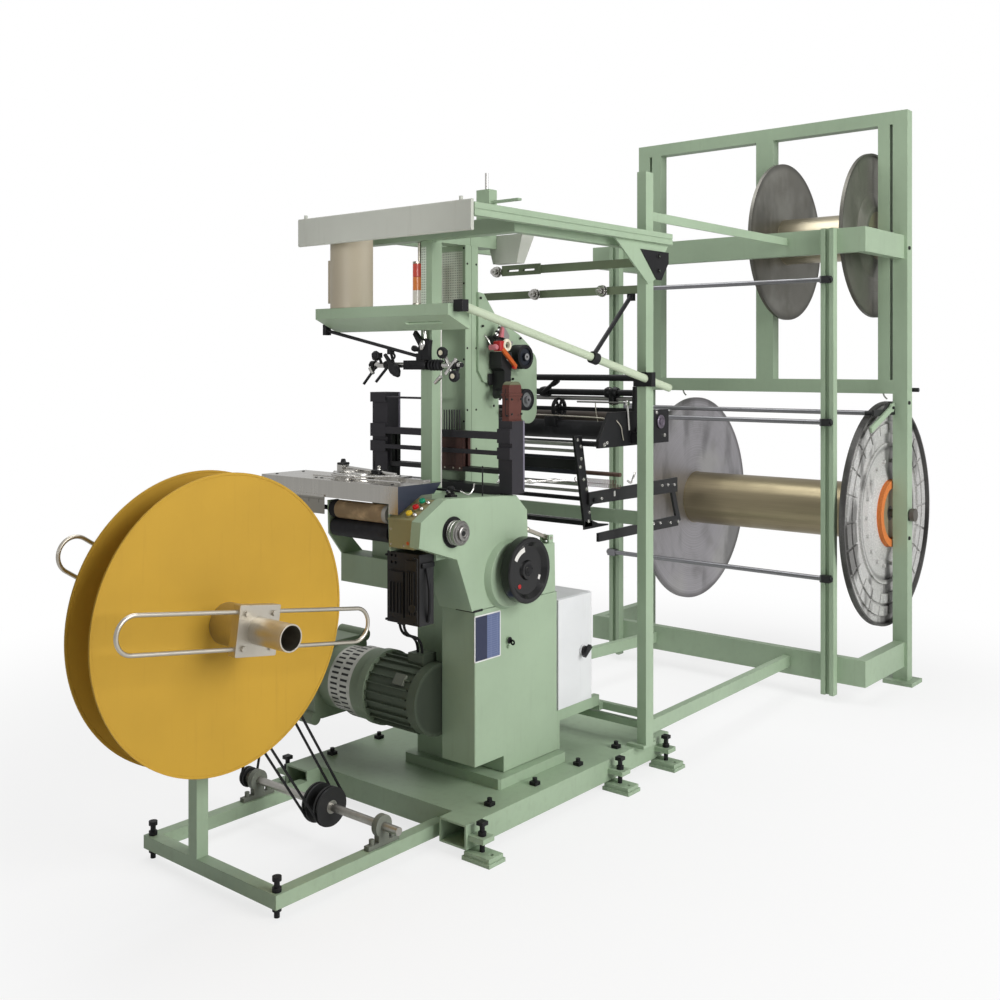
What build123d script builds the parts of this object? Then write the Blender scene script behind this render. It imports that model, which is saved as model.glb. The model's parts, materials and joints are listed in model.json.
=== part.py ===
from build123d import *
import math
import os

os.makedirs("parts", exist_ok=True)

# Power loom for narrow webbing, millimetres.
# +X is the handwheel side, +Y runs back to the beam creel, +Z is up.
# The origin is the middle of the four corner anchor holes, on the floor.

# Fits
shaft_clearance = 0.05
slide_clearance = 0.3
roll_gap = 0.3

# Base frame and levelling pads
base_half = 420.0
base_front = -560.0
base_rear = 600.0
base_under = 30.0
base_top = 105.0
side_beam = 110.0
beam_wall = 6.0
deck_front = -500.0
deck_thick = 8.0
pad_x = 455.0
pad_y = 525.0
mid_pad_y = 220.0
pad_length = 110.0
pad_width = 76.0
pad_foot = 12.0
pad_plate = 13.0
pad_step = 5.0
anchor_x = 490.0
anchor_radius = 7.0
jack_radius = 8.0
jack_top = 118.0
jack_head = 26.0
jack_head_height = 12.0
lug_low = 58.0
lug_high = 74.0
deck_bolt_x = 370.0
deck_bolts = (-391.0, -159.0, 85.0, 320.0)

# Front subframe that carries the take-up reel
rail_size = 40.0
rail_under = 30.0
subframe_right = 262.0
subframe_left = -325.0
subframe_front = -1155.0
long_jack_top = 112.0
reel_post_x = -95.0

# Take-up reel
reel_y = -1165.0
reel_z = 770.0
reel_radius = 425.0
reel_right = 50.0
reel_left = -63.0
reel_sheet = 4.0
reel_rim = 7.0
core_radius = 75.0
tube_radius = 38.0
tube_bore = 34.0
tube_right = 333.0
tube_left = -262.0
collar_radius = 60.0
block_size = 140.0
block_thick = 30.0
block_right = 165.0
block_left = -184.0
block_bolt = 47.0
block_bolt_radius = 8.0
loop_over = 5.0
loop_half = reel_radius + loop_over
loop_pitch = 50.0
loop_wire = 6.0
loop_tilt_right = 8.0
loop_tilt_left = 33.0
bearing_half = 50.0

# Jack shaft in the subframe and its belts
jackshaft_y = -760.0
jackshaft_z = 128.0
jackshaft_radius = 12.5
jackshaft_left = -400.0
jackshaft_right = 335.0
pillow_width = 42.0
pillow_radius = 33.0
big_pulley_radius = 56.0
small_pulley_radius = 28.0
pulley_width = 20.0
belt_planes = (-22.0, 32.0)
input_pulley_x = -370.0
belt_thick = 6.0
belt_gap = 0.3
groove = 4.0

# Pedestal, lower cover and head
pedestal_left = -100.0
cover_left = 135.0
cover_right = 280.0
cover_front = -358.0
cover_rear = 80.0
cover_split = 702.0
cover_low = 195.0
cover_rear_low = 141.0
cover_step = -213.0
pedestal_front = -240.0
pedestal_rear = 60.0
flange_left = -125.0
flange_right = 315.0
flange_front = -275.0
flange_rear = 92.0
flange_top = 139.0
panel_gap = 2.0
fold_radius = 4.0
lock_y = -191.0
lock_z = 578.0
lock_radius = 11.0
lock_high = 7.0
head_left = -50.0
shell_left = 240.0
head_front = -500.0
head_rear = -100.0
head_rise = 358.0
head_top = cover_split + head_rise
beam_front = -530.0
beam_rear = -440.0
beam_rise = 70.0
beam_deep = 94.0
beam_low = cover_split + beam_rise
beam_high = beam_low + beam_deep
throat_y = -445.0
nose_y = -619.0
shoulder_y = -147.0
hub_y = -464.0
hub_drop = 90.0
hub_z = head_top - hub_drop
hub_hole = 46.0
hub_radius = 36.0
hub_shaft = 14.0
hub_out = 318.0
hub_socket = 26.0
hub_bolt = 3.5
hub_bolt_inset = 9.0
wheel_y = -173.0
wheel_rise = 116.0
wheel_z = cover_split + wheel_rise
wheel_radius = 110.0
wheel_face = 362.0
wheel_deep = 48.0
wheel_shaft = 12.0
boss_y = -197.0
boss_drop = 18.0
boss_z = wheel_z - boss_drop
boss_radius = 116.0
boss_out = 302.0
boss_taper = 22.0
step_rise = 172.0
step_top = cover_split + step_rise
latch_x = 258.0
latch_y = 50.0
latch_rise = 18.0
latch_z = step_top + latch_rise
latch_tip_y = -62.0
latch_lift = 40.0
latch_tip_z = latch_z + latch_lift
latch_pin = 5.0
latch_ear = 8.0
latch_width = 16.0

# Breast table, rollers and their brackets
table_left = -505.0
table_right = 170.0
table_front = -600.0
table_rear = -400.0
table_thick = 57.0
table_top = head_top + table_thick
takeup_y = -570.0
takeup_drop = 95.0
takeup_z = table_top - takeup_drop
takeup_radius = 30.0
press_radius = 31.0
takeup_pulley = 18.0
roller_left = -155.0
roller_right = 111.0
bracket_left = -162.0
bracket_right = 118.0
bracket_thick = 8.0
axle_radius = 8.0

# Control box, cam box and cables
control_left = 130.0
control_right = 238.0
control_drop = 135.0
lip_drop = 42.0
back_rise = 12.0
control_low = head_top - control_drop
control_lip = head_top - lip_drop
control_back = head_top + back_rise
button_radius = 10.0
button_travel = 4.0
cam_left = 90.0
cam_right = 232.0
cam_front = -580.0
cam_rear = -502.0
cam_above = 39.0
cam_deep = 225.0
cam_high = beam_high + cam_above
cam_low = cam_high - cam_deep
cable_radius = 4.5
cable_bend = 34.0
cable_starts = (118.0, 136.0)
cable_ends = (46.0, 66.0)
control_ledge = 6.0
button_x = 203.0
collar_wide = 4.0
collar_high = 5.0
button_well = 14.0
cam_step = 12.0
cam_rib = 5.0
cam_ribs = (0.18, 0.38, 0.62, 0.82)
cam_hole = 9.0
cam_knob = 14.0

# Motor, clutch and gear case
motor_y = -370.0
motor_z = 390.0
motor_radius = 112.0
fin_radius = 122.0
motor_left = -100.0
motor_right = 133.0
clutch_left = -345.0
clutch_step = -222.0
clutch_ring = 28.0
gear_left = -475.0
gear_wide = 250.0
gear_high = 262.0
gear_round = 40.0
gear_stud = 10.0
gear_boss = 22.0
fin_count = 24
fin_thick = 4.0
cowl_long = 36.0
terminal_left = 20.0
terminal_right = 90.0
terminal_half = 32.0
terminal_high = 24.0
motor_foot_left = -50.0
motor_foot_high = 60.0

# Electrical box behind the pedestal
box_left = -30.0
box_right = 262.0
box_front = 112.0
box_rear = 320.0
box_low = 266.0
box_high = 662.0
box_sheet = 3.0
door_thick = 8.0
isolator_y = 262.0
isolator_z = 455.0

# Column, front post and top frame
column_left = -111.0
column_right = 25.0
column_front = -118.0
column_rear = -50.0
column_lower_rear = 65.0
column_step = 1620.0
column_top = 1925.0
post_left = -13.0
post_right = 38.0
post_front = -305.0
post_rear = -255.0
crossbeam_front = -332.0
crossbeam_rear = -282.0
crossbeam_top = 1975.0
rail_top = 1986.0
rail_depth = 40.0
rail_wide = 24.0
rail_left = -300.0
rail_front = -592.0
rail_rear = 525.0
inner_rail_wide = 34.0
fascia_low = 1901.0
fascia_high = 1995.0
fascia_front = -606.0
fascia_right = 480.0
fascia_round = 5.0
gusset_thick = 7.0
gusset_deep = 152.0
gusset_bolts = ((452.0, 1900.0), (452.0, 1846.0))
rail_groove = 3.0
rail_groove_deep = 2.0
hopper_mouth = (-28.0, 140.0)
hopper_outlet = (2.0, 114.0)
hopper_front = 60.5
hopper_rear = 132.0
hopper_low_rear = 104.0
hopper_high = 1974.0
hopper_low = 1870.0
block_span = (-7.0, 53.0)
block_half = 22.0
block_top = 2133.0
flat_bar_right = 177.0
flat_bar_z = 2087.0
rod_top = 2195.0
rod_radius = 6.0

# Lamp tray, curved panel and signal tower
tray_left = -335.0
tray_right = 292.0
tray_front = -500.0
tray_rear = -400.0
tray_high = 1695.0
tray_lip = 36.0
tray_fall = 44.0
tray_sheet = 8.0
tray_cheek = 6.0
tray_slot_x = 138.0
tray_slot = 165.0
tray_slot_wide = 16.0
tray_arm_deep = 30.0
panel_x = -215.0
panel_half = 85.0
panel_sheet = 10.0
panel_deep = 90.0
panel_above = 30.0
grip_low = 20.0
grip_high = 170.0
tower_x = -52.0
tower_y = -270.0
tower_radius = 25.0
tower_top = 1852.0
tower_foot = 70.0
lens_high = 46.0
lens_seam = 0.5
conduit_radius = 7.0

# Slanting tube and its clamps
tube_start = (312.0, -460.0, 1689.0)
tube_end = (497.0, 480.0, 1415.0)
tube_outer = 14.0
tube_wall = 2.0
tube_mouth = 0.97
collar_y = 106.0
collar_reach = 0.014
strut_x = 392.0
strut_radius = 8.0
clamp_half = 26.0
stub_end = (-3.0, -317.0, 1528.0)
stub_radius = 6.0

# Tension bars and eyelets
bar_thick = 8.0
bar_low = 1762.0
bar_high = 1792.0
upper_bar_low = 1860.0
upper_bar_high = 1892.0
upper_bar_left = -222.0
slot_plate_right = -28.0
slot_plate_thick = 6.0
slot_centres = (-165.0, -85.0)
slot_long = 60.0
slot_high = 8.0
eyelet_places = ((-237.0, 1873.0), (-43.0, 1776.0), (275.0, 1776.0))
eyelet_reach = 52.0
eyelet_pin = 5.0
eyelet_discs = ((14.0, 20.0, 22.0), (26.0, 30.0, 20.0), (34.0, 46.0, 12.0))

# Yarn guides in front of the post
guide_z = 1500.0
guide_row = 14.0
guide_bar_radius = 8.0
guide_left = -250.0
guide_right = 190.0
guide_knobs = ((-190.0, 34.0), (-130.0, 46.0), (122.0, 41.0), (176.0, -37.0))
guide_collars = (-232.0, -160.0, 90.0, 160.0)
guide_collar_radius = 15.0
guide_arms = (((-210.0, 4.0), (-258.0, 24.0, 68.0)), ((-150.0, 4.0), (-190.0, 30.0, 60.0)))
knob_radius = 13.0
knob_half = 9.0
knob_reach = 16.0

# Side frame that stands on the base
side_out = 460.0
side_in = 422.0
side_front = 380.0
side_rear = 430.0
side_top = 2205.0
side_top_left = 1925.0
side_bars = ((911.0, 960.0), (205.0, 232.0), (165.0, 190.0))
upper_brace_z = 2048.0
upper_brace_high = 34.0
low_brace_z = 172.0
low_brace_wide = 30.0
low_brace_high = 50.0
brace_far_x = 355.0
tension_bar_y = 386.0

# Feeder wheels on the column's side plate
feeder_top_y = 140.0
feeder_top_z = 1530.0
feeder_low_y = 150.0
feeder_low_z = 1372.0
feeder_plate = 10.0
feeder_top_radius = 45.0
feeder_low_radius = 40.0
feeder_axle = 6.0
feeder_boss = 16.0
feeder_rim = 12.0
feeder_wide = 48.0
feeder_gap = 10.0
feeder_edge = 99.0
feeder_shoulder = (-29.0, 1757.0)
feeder_tail_y = -59.0
feeder_waist = 1440.0
feeder_ear_radius = 30.0

# Heald guides and frames
heald_front = -188.0
heald_rear = -122.0
foot_bar_high = 30.0
guide_seat = 6.0
guide_foot = head_top
guide_base = guide_foot + foot_bar_high
right_guide_foot = guide_foot + guide_seat
left_guide_high = 310.0
right_guide_high = 222.0
cap_high = 132.0
left_guide_top = guide_base + left_guide_high
right_guide_top = guide_base + right_guide_high
cap_top = right_guide_top + cap_high
cap_inset = 13.0
cap_band = 8.0
cap_band_rise = 84.0
cap_band_z = right_guide_top + cap_band_rise
left_guide_out = -375.0
left_guide_in = -296.0
right_guide_in = 240.0
right_guide_out = 296.0
guide_bars = ((105.0, 15.0), (159.0, 24.0))
guide_bar_deep = 12.0
thin_bar_rise = 292.0
thin_bar_z = guide_base + thin_bar_rise
thin_bar_radius = 4.0
frame_lift = 40.0
frame_deep = 140.0
frame_low = guide_base + frame_lift
frame_high = frame_low + frame_deep
frame_bar = 16.0
frame_pitch = 28.0
frame_thick = 18.0
stick_deep = 12.0
pack_left = -71.0
pack_right = 64.0
pack_inset = 2.0
comb_left = -30.0
comb_pitch = 12.0
comb_count = 5
comb_radius = 2.5
comb_high = 72.0

# Let-off bars behind the heddles
letoff_gap = 32.0
letoff_plate = 12.0
letoff_low = 1204.0
letoff_high = 1330.0
letoff_front = 182.0
letoff_rear = 650.0
letoff_ear = 90.0
letoff_ear_half = 28.0
spindle_z = 1330.0
spindle_radius = 8.0
letoff_roller_y = 445.0
letoff_roller_z = 1250.0
letoff_roller_radius = 25.0
upper_rod_z = 1395.0
upper_rod_radius = 12.0
front_rod_y = 196.0
front_rod_z = 1218.0
front_rod_radius = 10.0
rear_rod_y = 560.0
rear_rod_z = 1262.0
rear_rod_radius = 16.0
stretcher_z = 1452.0
drop_out = 306.0
drop_plate = 10.0
drop_top = 1246.0
drop_bottom = 914.0
drop_top_y = 150.0
drop_bottom_y = 216.0
drop_wide = 46.0
drop_strip_z = 1140.0
drop_strip_high = 36.0
drop_bar_high = 16.0
small_wheel_x = 16.0
small_wheel_radius = 43.0
small_wheel_rim = 9.0
small_wheel_thick = 12.0
small_spoke = 4.0
swing_y = 255.0
swing_z = 1010.0
swing_thick = 10.0
swing_high = 58.0
swing_far = 835.0
swing_far_z = 1020.0
swing_drop = 145.0
swing_link = 26.0
swing_lower_high = 42.0
swing_pin = 8.0

# Beam creel
creel_in = 675.0
creel_out = 745.0
creel_front_face = 2190.0
creel_rear_face = 2250.0
creel_top = 2700.0
creel_bar = 62.0
creel_beam_front = 1730.0
creel_beam_rear = 1770.0
creel_beam_end = 730.0
mid_beam_low = 2000.0
mid_beam_high = 2110.0
low_beam_low = 82.0
low_beam_high = 198.0
stand_x = 570.0
stand_half = 30.0
stand_front = 1690.0
window_bar_low = 1364.0
window_bar_high = 1430.0
creel_stile = 56.0
stile_wide = 95.0
stile_left = -34.0
outer_stile = 604.0
beam_seat = 580.0
upper_disc_gap = 39.0
beam_cap = 14.0
beam_cap_radius = 30.0
hook_rod_left = -650.0
hook_rod_right = 770.0
hooks = (-470.0, 440.0)
hook_half = 12.0
hook_high = 34.0
stand_low = 30.0
stand_slot_deep = 16.0
rod_clamp_half = 22.0
rod_clamp_high = 32.0
arm_low = 1266.0
arm_mid = 1294.0
arm_high = 1322.0
arm_thick = 10.0
arm_step = 30.0
foot_reach = 35.0
foot_thick = 18.0
hook_rod_z = 1382.0
hook_rod_y = 20.0
hook_rod_radius = 10.0
guide_rod_rows = (550.0, 1245.0, 1880.0)
guide_rod_radius = 11.0
upper_radius = 392.0
upper_left = 125.0
upper_barrel = 113.0
lower_axis_z = 795.0
lower_radius = 532.0
lower_left = -400.0
lower_right = 625.0
lower_barrel = 135.0
beam_axle = 20.0
disc_plate = 8.0
disc_rim = 10.0
disc_lip = 16.0
disc_cone = 26.0
disc_slope = 70.0
disc_foot = 20.0
cast_lip = 26.0
cast_block_high = 12.0
cast_stud = 9.0
cast_row_radii = (404.0, 462.0)
cast_row_deep = 44.0
cast_blocks = 24
cast_block_gap = 12.0
cast_step = 335.0
cast_step_deep = 18.0
cast_studs = 18
cast_stud_radius = 250.0
hub_ring = 158.0
hub_ring_wide = 34.0
hub_ring_high = 45.0
brake_y = 2130.0
brake_z = 1300.0
brake_pin = 7.0
brake_tip_y = 1880.0
brake_tip_z = 1206.0
brake_wide = 28.0
brake_arm_y = 1935.0
brake_rod_y = 1950.0
brake_rod_z = 1280.0


def bar(x, y, z, mode=Mode.ADD):
    """Adds a square-edged bar that fills the given spans of X, Y and Z."""
    middle = ((x[0] + x[1]) / 2, (y[0] + y[1]) / 2, (z[0] + z[1]) / 2)
    with Locations(middle):
        Box(x[1] - x[0], y[1] - y[0], z[1] - z[0], mode=mode)


def rod(start, end, radius, mode=Mode.ADD):
    """Adds a round rod between two points."""
    run = Vector(*end) - Vector(*start)
    with BuildSketch(Plane(origin=start, z_dir=run)) as section:
        Circle(radius)
    extrude(section.sketch, amount=run.length, mode=mode)


def rod_x(x, y, z, radius, mode=Mode.ADD):
    """Adds a round rod along X at the given Y and Z."""
    rod((x[0], y, z), (x[1], y, z), radius, mode)


def ring_x(x, y, z, outer, inner, mode=Mode.ADD):
    """Adds a tube along X."""
    with BuildSketch(Plane.YZ.offset(x[0])) as section:
        with Locations((y, z)):
            Circle(outer)
            Circle(inner, mode=Mode.SUBTRACT)
    extrude(section.sketch, amount=x[1] - x[0], mode=mode)


def side_plate(points, x, mode=Mode.ADD):
    """Adds a plate whose outline is given in Y and Z, between two X planes."""
    with BuildSketch(Plane.YZ.offset(x[0])) as section:
        with BuildLine():
            Polyline(*points, close=True)
        make_face()
    extrude(section.sketch, amount=x[1] - x[0], mode=mode)


def beam_between(start, end, width, height):
    """Adds a straight bar of rectangular section between two points."""
    run = Vector(*end) - Vector(*start)
    across = Vector(0, 0, 1).cross(run).normalized()
    with BuildSketch(Plane(origin=start, x_dir=across, z_dir=run)) as section:
        Rectangle(width, height)
    extrude(section.sketch, amount=run.length)


def pulley_x(x, y, z, radius):
    """Adds a flanged pulley with a groove for the belt, centred on x."""
    rod_x((x - pulley_width / 2, x + pulley_width / 2), y, z, radius + groove)
    slot = (x - belt_thick / 2 - belt_gap, x + belt_thick / 2 + belt_gap)
    ring_x(slot, y, z, radius + groove + 1, radius, Mode.SUBTRACT)


def save(part, name):
    """Labels a finished piece and writes its file."""
    part.label = name
    export_step(part, "parts/" + name + ".step")


pad_rows = (-pad_y, mid_pad_y, pad_y)
sides = (-1, 1)

# Base frame: two box beams, cross beams, a deck and six jacking lugs
with BuildPart() as base_frame:
    for side in sides:
        inner = side * (base_half - side_beam)
        span = sorted((side * base_half, inner))
        hollow = sorted((side * (base_half - beam_wall), inner + side * beam_wall))
        bar(span, (base_front, base_rear), (base_under, base_top))
        bar(hollow, (base_front, base_rear), (base_under + beam_wall, base_top - beam_wall), Mode.SUBTRACT)
    deck_half = base_half - side_beam
    bar((-deck_half, deck_half), (deck_front, base_rear), (base_top - deck_thick, base_top))
    bar((-deck_half, deck_half), (deck_front, deck_front + deck_thick), (base_under, base_top))
    bar((-deck_half, deck_half), (base_rear - deck_thick, base_rear), (base_under, base_top))
    bar((-deck_half, deck_half), (pedestal_rear, pedestal_rear + deck_thick), (base_under, base_top))
    for side in sides:
        lug_span = sorted((side * base_half, side * (pad_x + jack_head)))
        for row in pad_rows:
            lug_row = (row - jack_head, row + jack_head)
            bar(lug_span, lug_row, (lug_low, lug_high))
    with Locations([(side * pad_x, row, 0) for side in sides for row in pad_rows]):
        Cylinder(jack_radius + slide_clearance, base_top * 2, mode=Mode.SUBTRACT)
save(base_frame.part, "base_frame")

# Levelling pads: a foot layer and a smaller plate, with an anchor hole in each
with BuildPart() as base_pads:
    for side in sides:
        for row in pad_rows:
            with Locations((side * (pad_x + pad_step), row, pad_foot / 2)):
                Box(pad_length, pad_width, pad_foot)
            with Locations((side * (pad_x + pad_step), row, pad_foot + pad_plate / 2)):
                Box(pad_length - 2 * pad_step, pad_width - 2 * pad_step, pad_plate)
    with Locations([(side * anchor_x, row, 0) for side in sides for row in pad_rows]):
        Cylinder(anchor_radius, pad_width * 2, mode=Mode.SUBTRACT)
save(base_pads.part, "base_pads")

# Square-headed jacking bolts on the pads, the deck and the subframe corners
rail_high = rail_under + rail_size
half_rail = rail_size / 2
pad_top = pad_foot + pad_plate
with BuildPart() as jack_bolts:
    for side in sides:
        for row in pad_rows:
            rod((side * pad_x, row, pad_top), (side * pad_x, row, jack_top), jack_radius)
            with Locations((side * pad_x, row, jack_top - jack_head_height / 2)):
                Box(jack_head, jack_head, jack_head_height)
            with Locations((side * pad_x, row, lug_high + jack_head_height / 2)):
                Cylinder(jack_radius * 1.6, jack_head_height)
    for side in sides:
        for row in deck_bolts:
            with Locations((side * deck_bolt_x, row, base_top + jack_head_height / 2)):
                Box(jack_head, jack_head, jack_head_height)
            with Locations((side * deck_bolt_x, row, base_top + jack_head_height * 1.5)):
                Cylinder(jack_radius, jack_head_height)
    for x in (subframe_left, subframe_right):
        rod((x, subframe_front, 0), (x, subframe_front, long_jack_top), jack_radius)
        with Locations((x, subframe_front, long_jack_top - jack_head_height / 2)):
            Cylinder(jack_head / 2, jack_head_height)
        for level in (rail_high + jack_head_height / 2, rail_under - jack_head_height / 2):
            with Locations((x, subframe_front, level)):
                Cylinder(jack_radius * 1.6, jack_head_height)
save(jack_bolts.part, "jack_bolts")

# Front subframe: two long rails, a front rail and the reel post
with BuildPart() as front_subframe:
    for rail, rail_end in ((subframe_left, base_front), (subframe_right, deck_front)):
        rail_span = (rail - half_rail, rail + half_rail)
        bar(rail_span, (subframe_front - half_rail, rail_end), (rail_under, rail_high))
    front_span = (subframe_left, subframe_right)
    bar(front_span, (subframe_front - half_rail, subframe_front + half_rail), (rail_under, rail_high))
    post_span = (reel_post_x - half_rail, reel_post_x + half_rail)
    post_top = reel_z - bearing_half
    bar(post_span, (subframe_front - half_rail, subframe_front + half_rail), (rail_under, post_top))
    with Locations([(x, subframe_front, rail_under) for x in (subframe_left, subframe_right)]):
        Cylinder(jack_radius + slide_clearance, rail_size * 4, mode=Mode.SUBTRACT)
save(front_subframe.part, "front_subframe")

# Bearings: the reel housing on its post and two pillow blocks for the jack shaft
with BuildPart() as shaft_bearings:
    housing_span = (reel_post_x - half_rail, reel_post_x + half_rail)
    housing_row = (reel_y - bearing_half, reel_y + bearing_half)
    bar(housing_span, housing_row, (reel_z - bearing_half, reel_z + bearing_half))
    rod_x(housing_span, reel_y, reel_z, tube_radius + shaft_clearance, Mode.SUBTRACT)
    for x in (subframe_left, subframe_right):
        pillow_span = (x - half_rail / 2, x + half_rail / 2)
        pillow_row = (jackshaft_y - pillow_width * 1.5, jackshaft_y + pillow_width * 1.5)
        bar(pillow_span, pillow_row, (rail_high, rail_high + 14))
        bar(pillow_span, (jackshaft_y - pillow_width / 2, jackshaft_y + pillow_width / 2), (rail_high, jackshaft_z))
        rod_x(pillow_span, jackshaft_y, jackshaft_z, pillow_radius)
        for end in sides:
            foot = (x, jackshaft_y + end * pillow_width, rail_high + 18)
            with Locations(foot):
                Cylinder(jack_radius, 22)
        rod_x(pillow_span, jackshaft_y, jackshaft_z, jackshaft_radius + shaft_clearance, Mode.SUBTRACT)
save(shaft_bearings.part, "shaft_bearings")

# Reel side discs: thin sheet with a rolled edge
with BuildPart() as reel_flanges:
    for near, far in ((reel_right, reel_right + reel_sheet), (reel_left - reel_sheet, reel_left)):
        rod_x((near, far), reel_y, reel_z, reel_radius - reel_rim / 2)
        ring_x((near - 1, far + 1), reel_y, reel_z, reel_radius, reel_radius - reel_rim)
    rod_x((reel_left - reel_rim, reel_right + reel_rim), reel_y, reel_z, tube_radius, Mode.SUBTRACT)
save(reel_flanges.part, "reel_flanges")


def loop_plane(x, tilt):
    """The plane of a handle loop, turned about the reel axis."""
    angle = math.radians(tilt)
    return Plane(origin=(x, reel_y, reel_z), x_dir=(0, math.cos(angle), -math.sin(angle)), z_dir=(1, 0, 0))


# Reel core: the hollow shaft, the winding core, collars and both handle loops
with BuildPart() as reel_core:
    rod_x((tube_left, tube_right), reel_y, reel_z, tube_radius)
    rod_x((reel_left, reel_right), reel_y, reel_z, core_radius)
    rod_x((reel_right + reel_sheet, block_right), reel_y, reel_z, collar_radius)
    rod_x((block_left, reel_post_x - half_rail - 1), reel_y, reel_z, collar_radius)
    loop_right = block_right + block_thick / 2
    loop_left = block_left - block_thick / 2
    for plane_x, tilt in ((loop_right, loop_tilt_right), (loop_left, loop_tilt_left)):
        with BuildLine(loop_plane(plane_x, tilt)) as loop_path:
            straight = loop_half - loop_pitch
            upper = Line((-straight, loop_pitch), (straight, loop_pitch))
            JernArc(upper @ 1, (1, 0), loop_pitch, -180)
            lower = Line((straight, -loop_pitch), (-straight, -loop_pitch))
            JernArc(lower @ 1, (-1, 0), loop_pitch, -180)
        start = loop_path.wires()[0] @ 0
        with BuildSketch(Plane(origin=start, z_dir=loop_path.wires()[0] % 0)):
            Circle(loop_wire)
        sweep(path=loop_path.wires()[0])
    for near, tilt in ((block_right, loop_tilt_right), (block_left - block_thick, loop_tilt_left)):
        with BuildSketch(loop_plane(near, tilt)):
            RectangleRounded(block_size, block_size, 4)
        extrude(amount=block_thick)
        outer_face = near + block_thick if near > 0 else near - block_bolt_radius
        with BuildSketch(loop_plane(outer_face, tilt)):
            with GridLocations(2 * block_bolt, 2 * block_bolt, 2, 2):
                RegularPolygon(block_bolt_radius, 6)
        extrude(amount=block_bolt_radius)
    rod_x((tube_left, tube_right), reel_y, reel_z, tube_bore, Mode.SUBTRACT)
save(reel_core.part, "reel_core")

# Jack shaft with its two reel pulleys and the input pulley
with BuildPart() as jack_shaft:
    rod_x((jackshaft_left, jackshaft_right), jackshaft_y, jackshaft_z, jackshaft_radius)
    for x in belt_planes:
        pulley_x(x, jackshaft_y, jackshaft_z, big_pulley_radius)
    pulley_x(input_pulley_x, jackshaft_y, jackshaft_z, small_pulley_radius)
save(jack_shaft.part, "jack_shaft")

# Take-up roller with its covered face and the belt pulley on its long end
with BuildPart() as takeup_roller:
    rod_x((roller_left, roller_right), takeup_y, takeup_z, takeup_radius)
    rod_x((jackshaft_left, bracket_right + bracket_thick + panel_gap), takeup_y, takeup_z, axle_radius)
    pulley_x(input_pulley_x, takeup_y, takeup_z, takeup_pulley)
save(takeup_roller.part, "takeup_roller")


def belt(x, low, low_radius, high, high_radius):
    """Adds a closed belt around two pulleys, as the hull of two circles less a smaller one."""
    for extra, mode in ((belt_thick, Mode.ADD), (0.0, Mode.SUBTRACT)):
        with BuildSketch(Plane.YZ.offset(x - belt_thick / 2)) as section:
            with Locations(low):
                Circle(low_radius + belt_gap + extra)
            with Locations(high):
                Circle(high_radius + belt_gap + extra)
            make_hull()
        extrude(section.sketch, amount=belt_thick, mode=mode)


# Drive belts: two up to the reel core and one down from the take-up roller
with BuildPart() as drive_belts:
    for x in belt_planes:
        belt(x, (jackshaft_y, jackshaft_z), big_pulley_radius, (reel_y, reel_z), core_radius)
    belt(input_pulley_x, (jackshaft_y, jackshaft_z), small_pulley_radius, (takeup_y, takeup_z), takeup_pulley)
save(drive_belts.part, "drive_belts")

# Pedestal: a cast stand on a wide foot flange
with BuildPart() as pedestal:
    bar((pedestal_left, cover_left), (pedestal_front, pedestal_rear), (base_top, cover_split))
    bar((flange_left, flange_right), (flange_front, flange_rear), (base_top, flange_top))
    vertical = pedestal.edges().filter_by(Axis.Z)
    chamfer(vertical, 8)
save(pedestal.part, "pedestal")

# Lower cover: a deep folded door over the drive, with its lock on the handwheel side
with BuildPart() as lower_cover:
    outline = [
        (cover_front, cover_low),
        (cover_front, cover_split - panel_gap),
        (cover_rear, cover_split - panel_gap),
        (cover_rear, cover_rear_low),
        (cover_step, cover_rear_low),
        (cover_step, cover_low),
    ]
    side_plate(outline, (cover_left, cover_right))
    outer_face = lower_cover.faces().sort_by(Axis.X)[-1]
    fillet(outer_face.edges().filter_by(Axis.Z).sort_by(Axis.Y)[0], fold_radius)
    rod_x((cover_right, cover_right + lock_high), lock_y, lock_z, lock_radius)
    rod_x((cover_right, cover_right + lock_high), lock_y, lock_z - 2 * lock_radius, lock_radius / 2)
save(lower_cover.part, "lower_cover")

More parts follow.
